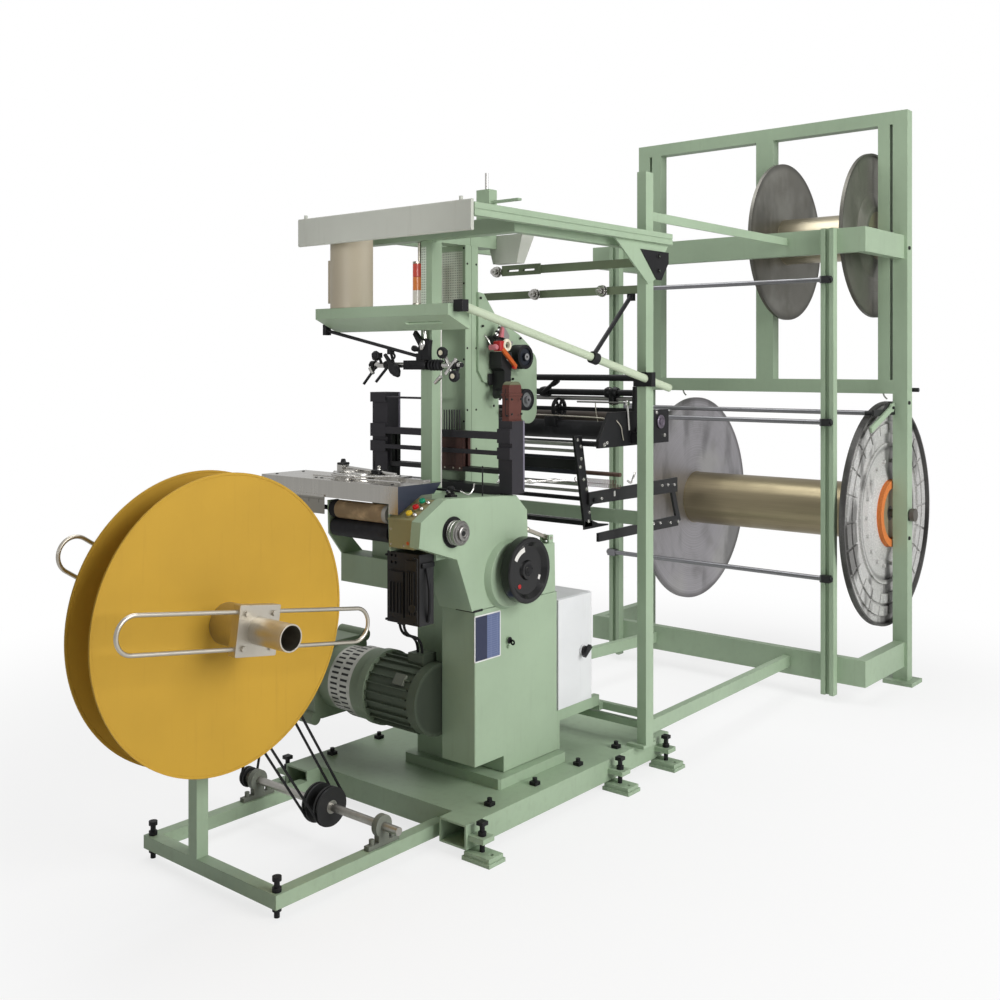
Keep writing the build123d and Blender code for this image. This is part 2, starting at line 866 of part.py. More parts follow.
# Head: the housing of the main shaft, its shaped side cheek and its front beam
cheek = [
    (cover_front - 14, cover_split),
    (throat_y, beam_high + 14),
    (nose_y, hub_z - 33),
    (nose_y + 9, hub_z + 45),
    (head_front + 3, head_top + 18),
    (shoulder_y, head_top),
    (head_rear + 12, head_top - 56),
    (head_rear + 18, step_top),
    (cover_rear - 12, step_top),
    (cover_rear - 8, cover_split),
]
neck = [
    (cover_front - 14, cover_split),
    (throat_y, beam_high + 14),
    (head_front, beam_high + 14),
    (head_front, head_top),
    (shoulder_y, head_top),
    (head_rear, head_top - 56),
    (head_rear, step_top),
    (cover_rear - 12, step_top),
    (cover_rear - 8, cover_split),
]
with BuildPart() as head_housing:
    side_plate(cheek, (shell_left, cover_right))
    side_plate(neck, (cover_left, shell_left))
    bar((head_left, cover_left), (head_front, pedestal_front), (beam_low, head_top))
    bar((head_left, cover_left), (pedestal_front, head_rear), (cover_split, head_top))
    bar((bracket_left, cam_left), (beam_front, head_front), (beam_low, beam_high))
    bar((bracket_left, head_left), (head_front, beam_rear), (beam_low, beam_high))
    with BuildSketch(Plane.YZ.offset(cover_right)):
        with Locations((boss_y, boss_z)):
            Circle(boss_radius)
    extrude(amount=boss_out - cover_right, taper=boss_taper)
    ear_out = latch_width / 2 + latch_ear + 4
    for near in (latch_x - ear_out, latch_x + ear_out - latch_ear):
        bar((near, near + latch_ear), (latch_y - 12, latch_y + 12), (step_top, latch_z + 2 * latch_pin))
    rod_x((latch_x - ear_out, latch_x + ear_out), latch_y, latch_z, latch_pin + shaft_clearance, Mode.SUBTRACT)
    rod_x((shell_left, cover_right), hub_y, hub_z, hub_hole, Mode.SUBTRACT)
    rod_x((shell_left - 80, shell_left), hub_y, hub_z, hub_shaft + shaft_clearance, Mode.SUBTRACT)
    rod_x((shell_left - 60, boss_out), wheel_y, wheel_z, wheel_shaft + shaft_clearance, Mode.SUBTRACT)
save(head_housing.part, "head_housing")

# Main shaft end: a bright hub that turns in the cheek's round hole
with BuildPart() as main_hub:
    rod_x((shell_left + 4, hub_out), hub_y, hub_z, hub_radius)
    rod_x((shell_left - 78, shell_left + 4), hub_y, hub_z, hub_shaft)
    rod_x((hub_out - hub_socket, hub_out), hub_y, hub_z, hub_shaft, Mode.SUBTRACT)
    with Locations(Plane.YZ.offset(hub_out)):
        with Locations((hub_y, hub_z)):
            with PolarLocations(hub_radius - hub_bolt_inset, 4):
                Cylinder(hub_bolt, hub_socket, mode=Mode.SUBTRACT)
save(main_hub.part, "main_hub")

# Handwheel: a dished black wheel on its shaft
with BuildPart() as wheel_disc:
    with BuildSketch(Plane.XZ) as wheel_section:
        with BuildLine():
            Polyline(
                (0, 0),
                (wheel_radius - 30, 0),
                (wheel_radius - 14, 6),
                (wheel_radius, 12),
                (wheel_radius, wheel_deep - 4),
                (wheel_radius - 4, wheel_deep),
                (wheel_radius - 16, wheel_deep),
                (wheel_radius - 30, wheel_deep - 14),
                (34, wheel_deep - 14),
                (30, wheel_deep - 6),
                (0, wheel_deep - 6),
                close=True,
            )
        make_face()
    revolve(axis=Axis.Z)
wheel_back = wheel_face - wheel_deep
wheel_plane = Plane(origin=(wheel_back, wheel_y, wheel_z), x_dir=(0, 1, 0), z_dir=(1, 0, 0))
with BuildPart() as handwheel:
    add(wheel_plane * wheel_disc.part)
    rod_x((shell_left - 58, wheel_back + 2), wheel_y, wheel_z, wheel_shaft)
save(handwheel.part, "handwheel")

# Breast table: a polished top, its end plate and the scale strip below its front
with BuildPart() as breast_table:
    table_end = control_left - panel_gap
    bar((table_left, table_end), (table_front, table_rear), (head_top, table_top))
    end_plate = [
        (table_front, table_top),
        (table_front, control_lip + 10),
        (head_front + 6, control_back + 10),
        (table_rear - 34, control_back + 10),
        (table_rear, table_top),
    ]
    side_plate(end_plate, (table_end, table_right))
    bar((table_left + 5, bracket_left - 12), (table_front - 4, table_front), (takeup_z - 18, head_top + 8))
save(breast_table.part, "breast_table")

# Weft needle gear on the table: a ring bearing, its rail and the arm
with BuildPart() as needle_rail:
    with Locations((-165, -470, table_top + 7)):
        Cylinder(72, 14)
        Cylinder(56, 14, mode=Mode.SUBTRACT)
    bar((-295, -85), (-430, -418), (table_top, table_top + 20))
    bar((-295, -268), (-436, -404), (table_top, table_top + 34))
    rod((-282, -420, table_top + 26), (0, -440, table_top + 16), 6)
    bar((-70, 40), (-470, -404), (table_top, table_top + 12))
    bar((20, 140), (-452, -420), (table_top, table_top + 8))
save(needle_rail.part, "needle_rail")

press_y = takeup_y + 8
press_z = takeup_z - math.sqrt((takeup_radius + press_radius + roll_gap) ** 2 - 8 ** 2)

# Roller brackets: two green plates that hold both roller axles
with BuildPart() as roller_brackets:
    left_outline = [
        (takeup_y - 22, takeup_z + 28),
        (takeup_y + 22, takeup_z + 28),
        (press_y + 30, press_z),
        (beam_rear, beam_high),
        (beam_rear, beam_low),
        (beam_front, beam_low),
        (beam_front, beam_high),
        (press_y - 26, press_z - 22),
    ]
    side_plate(left_outline, (bracket_left - bracket_thick, bracket_left))
    right_outline = [
        (takeup_y - 22, takeup_z + 28),
        (takeup_y + 22, takeup_z + 28),
        (press_y + 30, press_z),
        (head_front, press_z - 10),
        (head_front, cam_high + 4),
        (press_y - 26, cam_high + 4),
    ]
    side_plate(right_outline, (bracket_right, bracket_right + bracket_thick))
    for near in (bracket_left - bracket_thick, bracket_right):
        wall = (near, near + bracket_thick)
        rod_x(wall, takeup_y, takeup_z, axle_radius + shaft_clearance, Mode.SUBTRACT)
        rod_x(wall, press_y, press_z, axle_radius + shaft_clearance, Mode.SUBTRACT)
save(roller_brackets.part, "roller_brackets")

# Press roller below the take-up roller
with BuildPart() as press_roller:
    rod_x((roller_left, roller_right), press_y, press_z, press_radius)
    reach = panel_gap + bracket_thick
    rod_x((bracket_left - reach, bracket_right + reach), press_y, press_z, axle_radius)
save(press_roller.part, "press_roller")

# Control box with a folded lip and three button collars on its sloping top
slope = math.hypot(head_front - table_front, control_back - control_lip)
slope_y = (head_front - table_front) / slope
slope_z = (control_back - control_lip) / slope


def button_plane(share):
    """The plane of a push button, at a share of the way up the sloping top."""
    along = share * slope
    centre = (button_x, table_front + along * slope_y, control_lip + along * slope_z)
    return Plane(origin=centre, x_dir=(1, 0, 0), z_dir=(0, -slope_z, slope_y))


button_shares = {"push_button_yellow": 0.2, "push_button_red": 0.5, "push_button_green": 0.8}
with BuildPart() as control_box:
    box_outline = [
        (table_front, control_low),
        (table_front, control_lip),
        (head_front, control_back),
        (head_front, control_low),
    ]
    side_plate(box_outline, (control_left, control_right))
    ledge = (table_front - control_ledge, table_front)
    bar((control_left, control_right), ledge, (control_lip - control_ledge, control_lip))
    for share in button_shares.values():
        with BuildSketch(button_plane(share)):
            Circle(button_radius + collar_wide)
        extrude(amount=collar_high)
        with BuildSketch(button_plane(share).offset(-button_well)):
            Circle(button_radius + slide_clearance)
        extrude(amount=button_well + collar_high, mode=Mode.SUBTRACT)
save(control_box.part, "control_box")

# Three push buttons
for button_name, share in button_shares.items():
    with BuildPart() as push_button:
        with BuildSketch(button_plane(share).offset(button_travel + 1 - button_well)):
            Circle(button_radius)
        extrude(amount=button_well + button_travel + collar_high)
        fillet(push_button.edges().filter_by(GeomType.CIRCLE), 1.5)
    save(push_button.part, button_name)

# Cam box: a black case with two stepped, ribbed covers, four wire holes and a knob
with BuildPart() as cam_box:
    cover_faces = ((cam_left + 10, cam_left + 78, cam_high - 60), (cam_left + 88, cam_right - 8, cam_high - 20))
    bar((cam_left, cam_right), (cam_front + cam_step, cam_rear), (cam_low, cam_high))
    for near, far, high in cover_faces:
        bar((near, far), (cam_front + cam_rib, cam_front + cam_step), (cam_low + 20, high))
        for share in cam_ribs:
            x = near + share * (far - near)
            bar((x - cam_rib / 2, x + cam_rib / 2), (cam_front, cam_front + cam_rib), (cam_low + 34, high - 34))
    bar((cam_left + 20, cam_right - 60), (cam_rear, head_front), (beam_high, cam_high))
    for x in cable_starts:
        for z in (cam_high - 34, cam_high - 12):
            rod((x - 8, cam_front + cam_step, z), (x - 8, cam_front + 2 * cam_step, z), cam_hole / 2, Mode.SUBTRACT)
    rod((cam_right - 20, cam_front, cam_low + 56), (cam_right - 20, cam_front + cam_step, cam_low + 56), cam_knob)
save(cam_box.part, "cam_box")

# Motor: a finned body with its fan cowl, terminal box and foot
terminal_top = motor_z + fin_radius + terminal_high
with BuildPart() as motor:
    fin_end = motor_right - cowl_long - 2 * fin_thick
    rod_x((motor_left, motor_right - cowl_long + 2), motor_y, motor_z, motor_radius)
    rod_x((motor_right - cowl_long, motor_right), motor_y, motor_z, fin_radius - 3)
    body_middle = Plane(
        origin=((motor_left + fin_end) / 2, motor_y, motor_z),
        x_dir=(0, 1, 0),
        z_dir=(1, 0, 0),
    )
    fin_deep = fin_radius - motor_radius + fin_thick
    with Locations(body_middle):
        with PolarLocations(fin_radius - fin_deep / 2, fin_count, start_angle=180 / fin_count):
            Box(fin_deep, fin_thick, fin_end - motor_left)
    terminal_row = (motor_y - terminal_half, motor_y + terminal_half)
    bar((terminal_left, terminal_right), terminal_row, (motor_z + motor_radius - 8, terminal_top))
    foot_rise = (motor_z - motor_foot_high, motor_z + motor_foot_high)
    bar((motor_foot_left, terminal_right), (motor_y, pedestal_front), foot_rise)
save(motor.part, "motor")

# Two cables from the cam box down to the motor's terminal box
with BuildPart() as motor_cables:
    for cable_start, cable_end in zip(cable_starts, cable_ends):
        with BuildLine() as cable_route:
            FilletPolyline(
                (cable_start, cam_rear - 38, cam_low),
                (cable_start, cam_rear - 38, cam_low - 44),
                (cable_end, motor_y - 12, terminal_top + 50),
                (cable_end, motor_y - 12, terminal_top),
                radius=cable_bend,
            )
        with BuildSketch(Plane(origin=cable_route.wires()[0] @ 0, z_dir=cable_route.wires()[0] % 0)):
            Circle(cable_radius)
        sweep(path=cable_route.wires()[0])
        cable_length = cable_route.wires()[0].length
        print("cable length", round(cable_length, 1), "bend radius", cable_bend)
print("cable volume", round(motor_cables.part.volume, 1))
save(motor_cables.part, "motor_cables")

# Clutch housing and gear case on the motor's left end
with BuildPart() as clutch_housing:
    rod_x((motor_left - clutch_ring, motor_left), motor_y, motor_z, fin_radius + 6)
    rod_x((clutch_step, motor_left - clutch_ring), motor_y, motor_z, fin_radius)
    rod_x((clutch_left, clutch_step), motor_y, motor_z, motor_radius)
    with BuildSketch(Plane.YZ.offset(gear_left)):
        with Locations((motor_y, motor_z - 4)):
            RectangleRounded(gear_wide, gear_high, gear_round)
            with GridLocations(gear_wide - gear_boss / 2, gear_high - gear_boss / 2, 2, 2):
                Circle(gear_boss)
    extrude(amount=clutch_left - gear_left)
    with BuildSketch(Plane.YZ.offset(gear_left - gear_stud)):
        with Locations((motor_y, motor_z - 4)):
            with GridLocations(gear_wide - gear_boss / 2, gear_high - gear_boss / 2, 2, 2):
                RegularPolygon(gear_stud, 6)
    extrude(amount=gear_stud)
save(clutch_housing.part, "clutch_housing")

# Electrical box on its bracket bars: a sheet case that opens to the handwheel side
with BuildPart() as box_body:
    bar((box_left, box_right - door_thick), (box_front, box_rear), (box_low, box_high))
    bar(
        (box_left + box_sheet, box_right),
        (box_front + box_sheet, box_rear - box_sheet),
        (box_low + box_sheet, box_high - box_sheet),
        Mode.SUBTRACT,
    )
    bar((box_left + box_sheet, box_left + 12), (box_front + 20, box_rear - 20), (box_low + 30, box_high - 30))
    bar((box_left + 12, box_left + 70), (box_front + 40, box_front + 120), (box_high - 190, box_high - 60))
save(box_body.part, "box_body")

# Electrical box door, hinged at its front edge
with BuildPart() as box_door:
    door_span = (box_right - door_thick + slide_clearance, box_right)
    bar(door_span, (box_front + panel_gap, box_rear - panel_gap), (box_low + panel_gap, box_high - panel_gap))
    rod_x((box_right, box_right + 6), isolator_y, isolator_z, 21)
    rod_x((box_right - door_thick, box_right + 6), isolator_y, isolator_z, 6 + shaft_clearance, Mode.SUBTRACT)
save(box_door.part, "box_door")

# Rotary handle of the isolator switch on the door
with BuildPart() as isolator_handle:
    rod_x((box_right - 6, box_right + 8), isolator_y, isolator_z, 6)
    rod_x((box_right + 6 + slide_clearance, box_right + 14), isolator_y, isolator_z, 17)
    with Locations(Plane(origin=(box_right + 20, isolator_y, isolator_z), x_dir=(0, 0.8, 0.6), z_dir=(1, 0, 0))):
        Box(50, 14, 14)
save(isolator_handle.part, "isolator_handle")

# Latch lever behind the handwheel, on the head's rear step
with BuildPart() as latch_lever:
    beam_between((latch_x, latch_y, latch_z), (latch_x, latch_tip_y, latch_tip_z), 16, 12)
    rod_x((latch_x - 10, latch_x + 10), latch_y, latch_z, 10)
    rod_x((latch_x - 22, latch_x + 22), latch_y, latch_z, latch_pin)
    with Locations((latch_x, latch_tip_y, latch_tip_z)):
        Sphere(11)
save(latch_lever.part, "latch_lever")

# Column with a perforated front, the front post and the beam that joins their tops
with BuildPart() as column:
    bar((column_left, column_right), (head_rear, pedestal_rear), (cover_split, head_top))
    bar((column_left, column_right), (column_front, column_lower_rear), (head_top, column_step))
    bar((column_left, column_right), (column_front, column_rear), (column_step, column_top))
    bar((post_left, post_right), (post_front, post_rear), (head_top, column_top))
    bar((-60, 20), (crossbeam_rear, pedestal_rear), (column_top, crossbeam_top))
    bar(block_span, (-block_half, block_half), (crossbeam_top, block_top))
    flat_bar = (flat_bar_z - bar_thick / 2, flat_bar_z + bar_thick / 2)
    bar((block_span[1], flat_bar_right), (-block_half / 2, block_half / 2), flat_bar)
save(column.part, "column")

# Top frame: the cross beam, three long rails and the gusset plate with its bolts
rail_low = rail_top - rail_depth
with BuildPart() as top_rails:
    bar((rail_left + rail_wide, side_in + 2), (crossbeam_front, crossbeam_rear), (column_top, crossbeam_top))
    bar((side_out, side_out + rail_wide), (rail_front, rail_rear), (rail_low, rail_top))
    groove_z = (rail_low + rail_top - rail_groove) / 2
    groove_deep = (side_out + rail_wide - rail_groove_deep, side_out + rail_wide)
    bar(groove_deep, (rail_front, rail_rear), (groove_z, groove_z + rail_groove), Mode.SUBTRACT)
    bar((rail_left, rail_left + rail_wide), (rail_front, rail_rear), (rail_low, rail_top))
    bar((side_in - inner_rail_wide, side_in), (crossbeam_rear, side_rear), (column_top, column_top + inner_rail_wide))
    gusset = [
        (side_front - 210, rail_low),
        (rail_rear - 4, rail_low),
        (side_rear + 4, rail_low - gusset_deep + 20),
        (side_front + 4, rail_low - gusset_deep),
        (side_front - 22, rail_low - gusset_deep + 20),
    ]
    side_plate(gusset, (side_out, side_out + gusset_thick))
    for y, z in gusset_bolts:
        with BuildSketch(Plane.YZ.offset(side_out + gusset_thick)) as bolt:
            with Locations((y, z)):
                RegularPolygon(block_bolt_radius, 6)
        extrude(bolt.sketch, amount=gusset_thick)
save(top_rails.part, "top_rails")

# Fascia: a pale lamp cover across the rails, and the pale hopper behind the column
with BuildPart() as fascia:
    bar((rail_left - 2, fascia_right), (fascia_front, rail_front), (fascia_low, fascia_high))
    fillet(fascia.edges().filter_by(Axis.X), fascia_round)
    fascia_middle = (fascia_front + rail_front) / 2
    for x in (rail_left + 30, fascia_right - 45):
        rod((x, fascia_middle, fascia_high - 1), (x, fascia_middle, fascia_high + 11), rod_radius)
    with BuildSketch(Plane.XY.offset(hopper_low)) as outlet:
        with Locations((sum(hopper_outlet) / 2, (hopper_front + hopper_low_rear) / 2)):
            Rectangle(hopper_outlet[1] - hopper_outlet[0], hopper_low_rear - hopper_front)
    with BuildSketch(Plane.XY.offset(hopper_high)) as mouth:
        with Locations((sum(hopper_mouth) / 2, (hopper_front + hopper_rear) / 2)):
            Rectangle(hopper_mouth[1] - hopper_mouth[0], hopper_rear - hopper_front)
    loft(sections=[outlet.sketch, mouth.sketch])
save(fascia.part, "fascia")

# Lamp tray: a long trough with a sloping floor, closed ends and one long slot
floor_front = tray_high - tray_lip
floor_rear = floor_front - tray_fall
with BuildPart() as lamp_tray:
    tray_section = [
        (tray_front, tray_high),
        (tray_front, floor_front),
        (tray_rear, floor_rear),
        (tray_rear, floor_rear + tray_fall - 4),
        (tray_rear - tray_cheek, floor_rear + tray_fall - 4),
        (tray_rear - tray_cheek, floor_rear + tray_sheet),
        (tray_front + tray_sheet, floor_front + tray_sheet / 2),
        (tray_front + tray_sheet, tray_high),
    ]
    side_plate(tray_section, (tray_left, tray_right))
    cheek_outline = [
        (tray_front, tray_high),
        (tray_front, floor_front),
        (tray_rear, floor_rear),
        (tray_rear, tray_high),
    ]
    for x in (tray_left, tray_right - tray_cheek):
        side_plate(cheek_outline, (x, x + tray_cheek))
    floor_middle = (tray_slot_x, (tray_front + tray_rear) / 2, (floor_front + floor_rear) / 2)
    floor_plane = Plane(origin=floor_middle, x_dir=(1, 0, 0), z_dir=(0, tray_fall, tray_rear - tray_front))
    with BuildSketch(floor_plane) as slot:
        SlotOverall(tray_slot, tray_slot_wide)
    extrude(slot.sketch, amount=2 * tray_sheet, both=True, mode=Mode.SUBTRACT)
    arm_top = floor_rear + tray_fall - 10
    bar((post_left, post_right), (tray_rear, post_front), (arm_top - tray_arm_deep, arm_top))
save(lamp_tray.part, "lamp_tray")

# Curved panel above the tray with its black grip
with BuildPart() as curved_panel:
    panel_left = panel_x - panel_half
    panel_right = panel_x + panel_half - panel_sheet
    panel_rear = tray_rear - 20
    panel_bow = panel_rear - panel_deep
    with BuildSketch(Plane.XY.offset(tray_high)):
        with BuildLine():
            inner_edge = ThreePointArc(
                (panel_right, panel_rear),
                (panel_x, panel_bow + panel_sheet),
                (panel_left + panel_sheet, panel_rear),
            )
            Line(inner_edge @ 1, (panel_left, panel_rear))
            outer_edge = ThreePointArc(
                (panel_left, panel_rear),
                (panel_x, panel_bow),
                (panel_right + panel_sheet, panel_rear),
            )
            Line(outer_edge @ 1, inner_edge @ 0)
        make_face()
    extrude(amount=fascia_low - tray_high + panel_above)
    grip_row = (panel_rear - panel_half / 2, panel_rear)
    bar((panel_left - 12, panel_left + 4), grip_row, (tray_high + grip_low, tray_high + grip_high))
save(curved_panel.part, "curved_panel")

tower_low = tower_top - 3 * lens_high

# Signal tower: its base, the arm that holds it and the conduit to the beam above
with BuildPart() as tower_base:
    rod((tower_x, tower_y, tower_low - tower_foot), (tower_x, tower_y, tower_low), tower_radius + 1)
    bar((tower_x, post_left), (tower_y - 10, tower_y + 10), (tower_low - 56, tower_low - 30))
    rod((tower_x, tower_y, tower_top), (tower_x, tower_y, tower_top + 8), tower_radius)
    rod((tower_x, tower_y, tower_top + 8), (tower_x, tower_y, column_top), conduit_radius)
save(tower_base.part, "tower_base")

# Signal tower lenses: red, amber and clear, with a seam between them
with BuildPart() as tower_lenses:
    for tier in range(3):
        top = tower_top - tier * lens_high
        rod((tower_x, tower_y, top - lens_high + lens_seam), (tower_x, tower_y, top - lens_seam), tower_radius)
        rod((tower_x, tower_y, top - lens_high), (tower_x, tower_y, top), tower_radius - 3)
save(tower_lenses.part, "tower_lenses")

tube_run = [tube_end[axis] - tube_start[axis] for axis in range(3)]


def tube_point(share):
    """A point on the slanting tube, at a share of its length."""
    return tuple(tube_start[axis] + share * tube_run[axis] for axis in range(3))


# Slanting tube from the lamp tray back past the side frame
with BuildPart() as slant_tube:
    rod(tube_start, tube_end, tube_outer)
    rod(tube_point(tube_mouth), tube_end, tube_outer - tube_wall, Mode.SUBTRACT)
save(slant_tube.part, "slant_tube")

clamp_at = tube_point((side_front - clamp_half / 2 - tube_start[1]) / tube_run[1])
collar_share = (collar_y - tube_start[1]) / tube_run[1]
collar_at = tube_point(collar_share)

# Clamps on the slanting tube, its strut and the short guide rod at the tray's left
with BuildPart() as tube_clamps:
    clamp_rise = (clamp_at[2] - clamp_half, clamp_at[2] + clamp_half)
    bar((side_in, clamp_at[0] + clamp_half), (side_front - clamp_half, side_front), clamp_rise)
    collar = (tube_point(collar_share - collar_reach), tube_point(collar_share + collar_reach))
    rod(collar[0], collar[1], tube_outer + 7)
    strut_top = (strut_x, tension_bar_y, bar_low - strut_radius)
    rod((collar_at[0] - 4, collar_at[1], collar_at[2] + strut_radius), strut_top, strut_radius)
    strut_row = (tension_bar_y - 10, tension_bar_y + 10)
    bar((strut_x - 12, strut_x + 12), strut_row, (bar_low - clamp_half, bar_low))
    start_row = (tube_start[1] - 16, tube_start[1] + 14)
    bar((tray_right, tube_start[0] + 18), start_row, (tube_start[2] - 20, tube_start[2] + 18))
    rod(tube_start, tube_end, tube_outer, Mode.SUBTRACT)
    rod((tray_left - 7, tray_front + 60, tray_high - 74), stub_end, stub_radius)
    bar((tray_left - 17, tray_left), (tray_front + 48, tray_front + 72), (tray_high - 90, tray_high - 52))
    bar((-12, 12), (post_front - clamp_half, post_front), (stub_end[2] - 12, stub_end[2] + 12))
save(tube_clamps.part, "tube_clamps")

# Tension bars between the side posts, one with a slotted plate
bar_rear = tension_bar_y + bar_thick
with BuildPart() as tension_bars:
    bar((upper_bar_left, side_in), (tension_bar_y, bar_rear), (upper_bar_low, upper_bar_high))
    plate_row = (tension_bar_y - slot_plate_thick, tension_bar_y)
    bar((upper_bar_left, slot_plate_right), plate_row, (upper_bar_low - 4, upper_bar_high + 6))
    for x in slot_centres:
        with BuildSketch(Plane.XZ.offset(-bar_rear)) as slot:
            with Locations((x, (upper_bar_low + upper_bar_high) / 2)):
                SlotOverall(slot_long, slot_high)
        extrude(slot.sketch, amount=bar_thick + slot_plate_thick, mode=Mode.SUBTRACT)
    bar((-side_in, side_in), (tension_bar_y, bar_rear), (bar_low, bar_high))
save(tension_bars.part, "tension_bars")

# Yarn eyelets on the tension bars, stacked discs on a pin, and the threaded rod on the block
with BuildPart() as yarn_eyelets:
    for x, z in eyelet_places:
        rod((x, tension_bar_y - eyelet_reach, z), (x, tension_bar_y, z), eyelet_pin)
        for near, far, radius in eyelet_discs:
            rod((x, tension_bar_y - far, z), (x, tension_bar_y - near, z), radius)
    tab = (eyelet_places[0][0] - eyelet_discs[2][2], upper_bar_left)
    bar(tab, (tension_bar_y, bar_rear), (upper_bar_low + 2, upper_bar_high - 6))
    rod((sum(block_span) / 2, 0, block_top), (sum(block_span) / 2, 0, rod_top), rod_radius)
save(yarn_eyelets.part, "yarn_eyelets")

# Feeder plate on the column's side: a cast bracket whose lower lobe wraps the wheels
with BuildPart() as feeder_bracket:
    feeder_outline = [
        (feeder_tail_y, feeder_top_z + 231),
        feeder_shoulder,
        (feeder_top_y - 93, feeder_top_z + 138),
        (feeder_top_y + 35, feeder_top_z + 82),
        (feeder_top_y + feeder_edge - 3, feeder_top_z + 42),
        (feeder_low_y + 60, feeder_low_z),
        (feeder_low_y - 43, feeder_low_z + 17),
        (feeder_low_y - 90, feeder_low_z + 48),
        (column_rear + 20, feeder_waist),
        (feeder_tail_y, feeder_waist + 40),
    ]
    side_plate(feeder_outline, (column_right, column_right + feeder_plate))
    with BuildSketch(Plane.YZ.offset(column_right)) as lobe:
        with Locations((feeder_top_y + feeder_edge, feeder_top_z - 20)):
            Circle(feeder_low_radius)
        with Locations((feeder_low_y + 79, feeder_low_z - 42)):
            Circle(50)
        with Locations((feeder_low_y, feeder_low_z)):
            Circle(feeder_ear_radius)
        with Locations((feeder_top_y, feeder_top_z)):
            Circle(feeder_ear_radius)
        make_hull()
    extrude(lobe.sketch, amount=feeder_plate)
    for mode, radius in ((Mode.ADD, feeder_boss), (Mode.SUBTRACT, feeder_axle + shaft_clearance)):
        for y, z in ((feeder_top_y, feeder_top_z), (feeder_low_y, feeder_low_z)):
            rod_x((column_right, column_right + feeder_plate + 6), y, z, radius, mode)
save(feeder_bracket.part, "feeder_bracket")

feeder_face = column_right + feeder_plate

# Feeder head: its dark body, the slanting arm and the ivory ring
with BuildPart() as feeder_body:
    bar((feeder_face, feeder_face + 62), (0, 78), (feeder_top_z - 200, feeder_top_z + 5))
    bar((feeder_face, feeder_face + 40), (-20, 60), (feeder_top_z + 30, feeder_top_z + 120))
    rod_x((feeder_face, feeder_face + 84), 62, feeder_top_z + 58, 8)
    arm_high_end = (feeder_face + 80, 48, feeder_top_z + 70)
    arm_low_end = (feeder_face + 80, feeder_top_y - 10, feeder_top_z - 52)
    beam_between(arm_high_end, arm_low_end, 8, 20)
    ring_x((feeder_face + 76, feeder_face + 92), 40, feeder_top_z + 76, 20, 9)
save(feeder_body.part, "feeder_body")

# Feeder wheels with rubber rims
for wheel_name, y, z, radius in (
    ("feeder_wheel_top", feeder_top_y, feeder_top_z, feeder_top_radius),
    ("feeder_wheel_bottom", feeder_low_y, feeder_low_z, feeder_low_radius),
):
    wheel_near = feeder_face + feeder_gap
    wheel_far = wheel_near + feeder_wide
    with BuildPart() as feeder_wheel:
        rod_x((wheel_near, wheel_far), y, z, radius)
        rod_x((wheel_far - feeder_rim / 2, wheel_far), y, z, radius - feeder_rim, Mode.SUBTRACT)
        rod_x((wheel_far - feeder_rim, wheel_far + feeder_rim / 2), y, z, feeder_boss - 2)
        rod_x((column_right + 2, wheel_far - feeder_rim), y, z, feeder_axle)
        fillet(feeder_wheel.edges().filter_by(GeomType.CIRCLE).sort_by(Axis.X)[-3:-2], 1)
    save(feeder_wheel.part, wheel_name)

# Yarn guides on a bar in front of the post, with adjusting knobs
guide_bar_y = post_front - guide_row
with BuildPart() as yarn_guides:
    rod((guide_left, guide_bar_y, guide_z), (guide_right, guide_bar_y, guide_z), guide_bar_radius)
    bar((-71, 34), (guide_bar_y - guide_row, post_front), (guide_z - knob_reach, guide_z + knob_reach))
    for x, rise in guide_knobs:
        centre = (x, guide_bar_y - knob_reach, guide_z + rise)
        rod((x, guide_bar_y, guide_z), centre, eyelet_pin)
        rod((x, centre[1], centre[2] - knob_half), (x, centre[1], centre[2] + knob_half), knob_radius)
    for x in guide_collars:
        rod_x((x - knob_half, x + knob_half), guide_bar_y, guide_z, guide_collar_radius)
    for (x, near), (end_x, ahead, drop) in guide_arms:
        rod((x, guide_bar_y - near, guide_z), (end_x, guide_bar_y - ahead, guide_z - drop), eyelet_pin)
save(yarn_guides.part, "yarn_guides")

# Heald guides: two uprights on a foot bar, cross bars and the rounded cap on the right one
with BuildPart() as heald_guides:
    bar((left_guide_out, right_guide_in), (heald_front, heald_rear), (guide_foot, guide_base))
    bar((left_guide_out, left_guide_in), (heald_front, heald_rear), (guide_base, left_guide_top))
    bar((right_guide_in, right_guide_out), (heald_front, heald_rear), (right_guide_foot, right_guide_top))
    for rise, deep in guide_bars:
        low = guide_base + rise
        high = low + deep
        bar((left_guide_in, right_guide_in), (heald_front - guide_bar_deep, heald_front), (low, high))
        for span in ((left_guide_out, left_guide_in), (right_guide_in, right_guide_out)):
            bar(span, (heald_front - guide_bar_deep, heald_front), (low - guide_bar_deep, high + guide_bar_deep))
    rod_x((left_guide_in, comb_left), heald_front - guide_bar_deep / 2, thin_bar_z, thin_bar_radius)
    head_row = (heald_front - guide_bar_deep, heald_front)
    bar((left_guide_out, left_guide_in), head_row, (left_guide_top - 3 * guide_bar_deep, left_guide_top))
    cap_span = (right_guide_in + cap_inset, right_guide_out - cap_inset)
    cap_round = (heald_rear - heald_front) / 2
    with BuildSketch(Plane.YZ.offset(cap_span[0])) as cap:
        with Locations(((heald_front + heald_rear) / 2, (right_guide_top + cap_top) / 2)):
            Rectangle(2 * cap_round, cap_top - right_guide_top)
        fillet(cap.vertices().group_by(Axis.Y)[-1], cap_round * 0.7)
    extrude(cap.sketch, amount=cap_span[1] - cap_span[0])
    band_span = (cap_span[0] - cap_band / 2, cap_span[1] + cap_band / 2)
    bar(band_span, (heald_front - cap_band / 2, heald_rear), (cap_band_z, cap_band_z + cap_band))
save(heald_guides.part, "heald_guides")

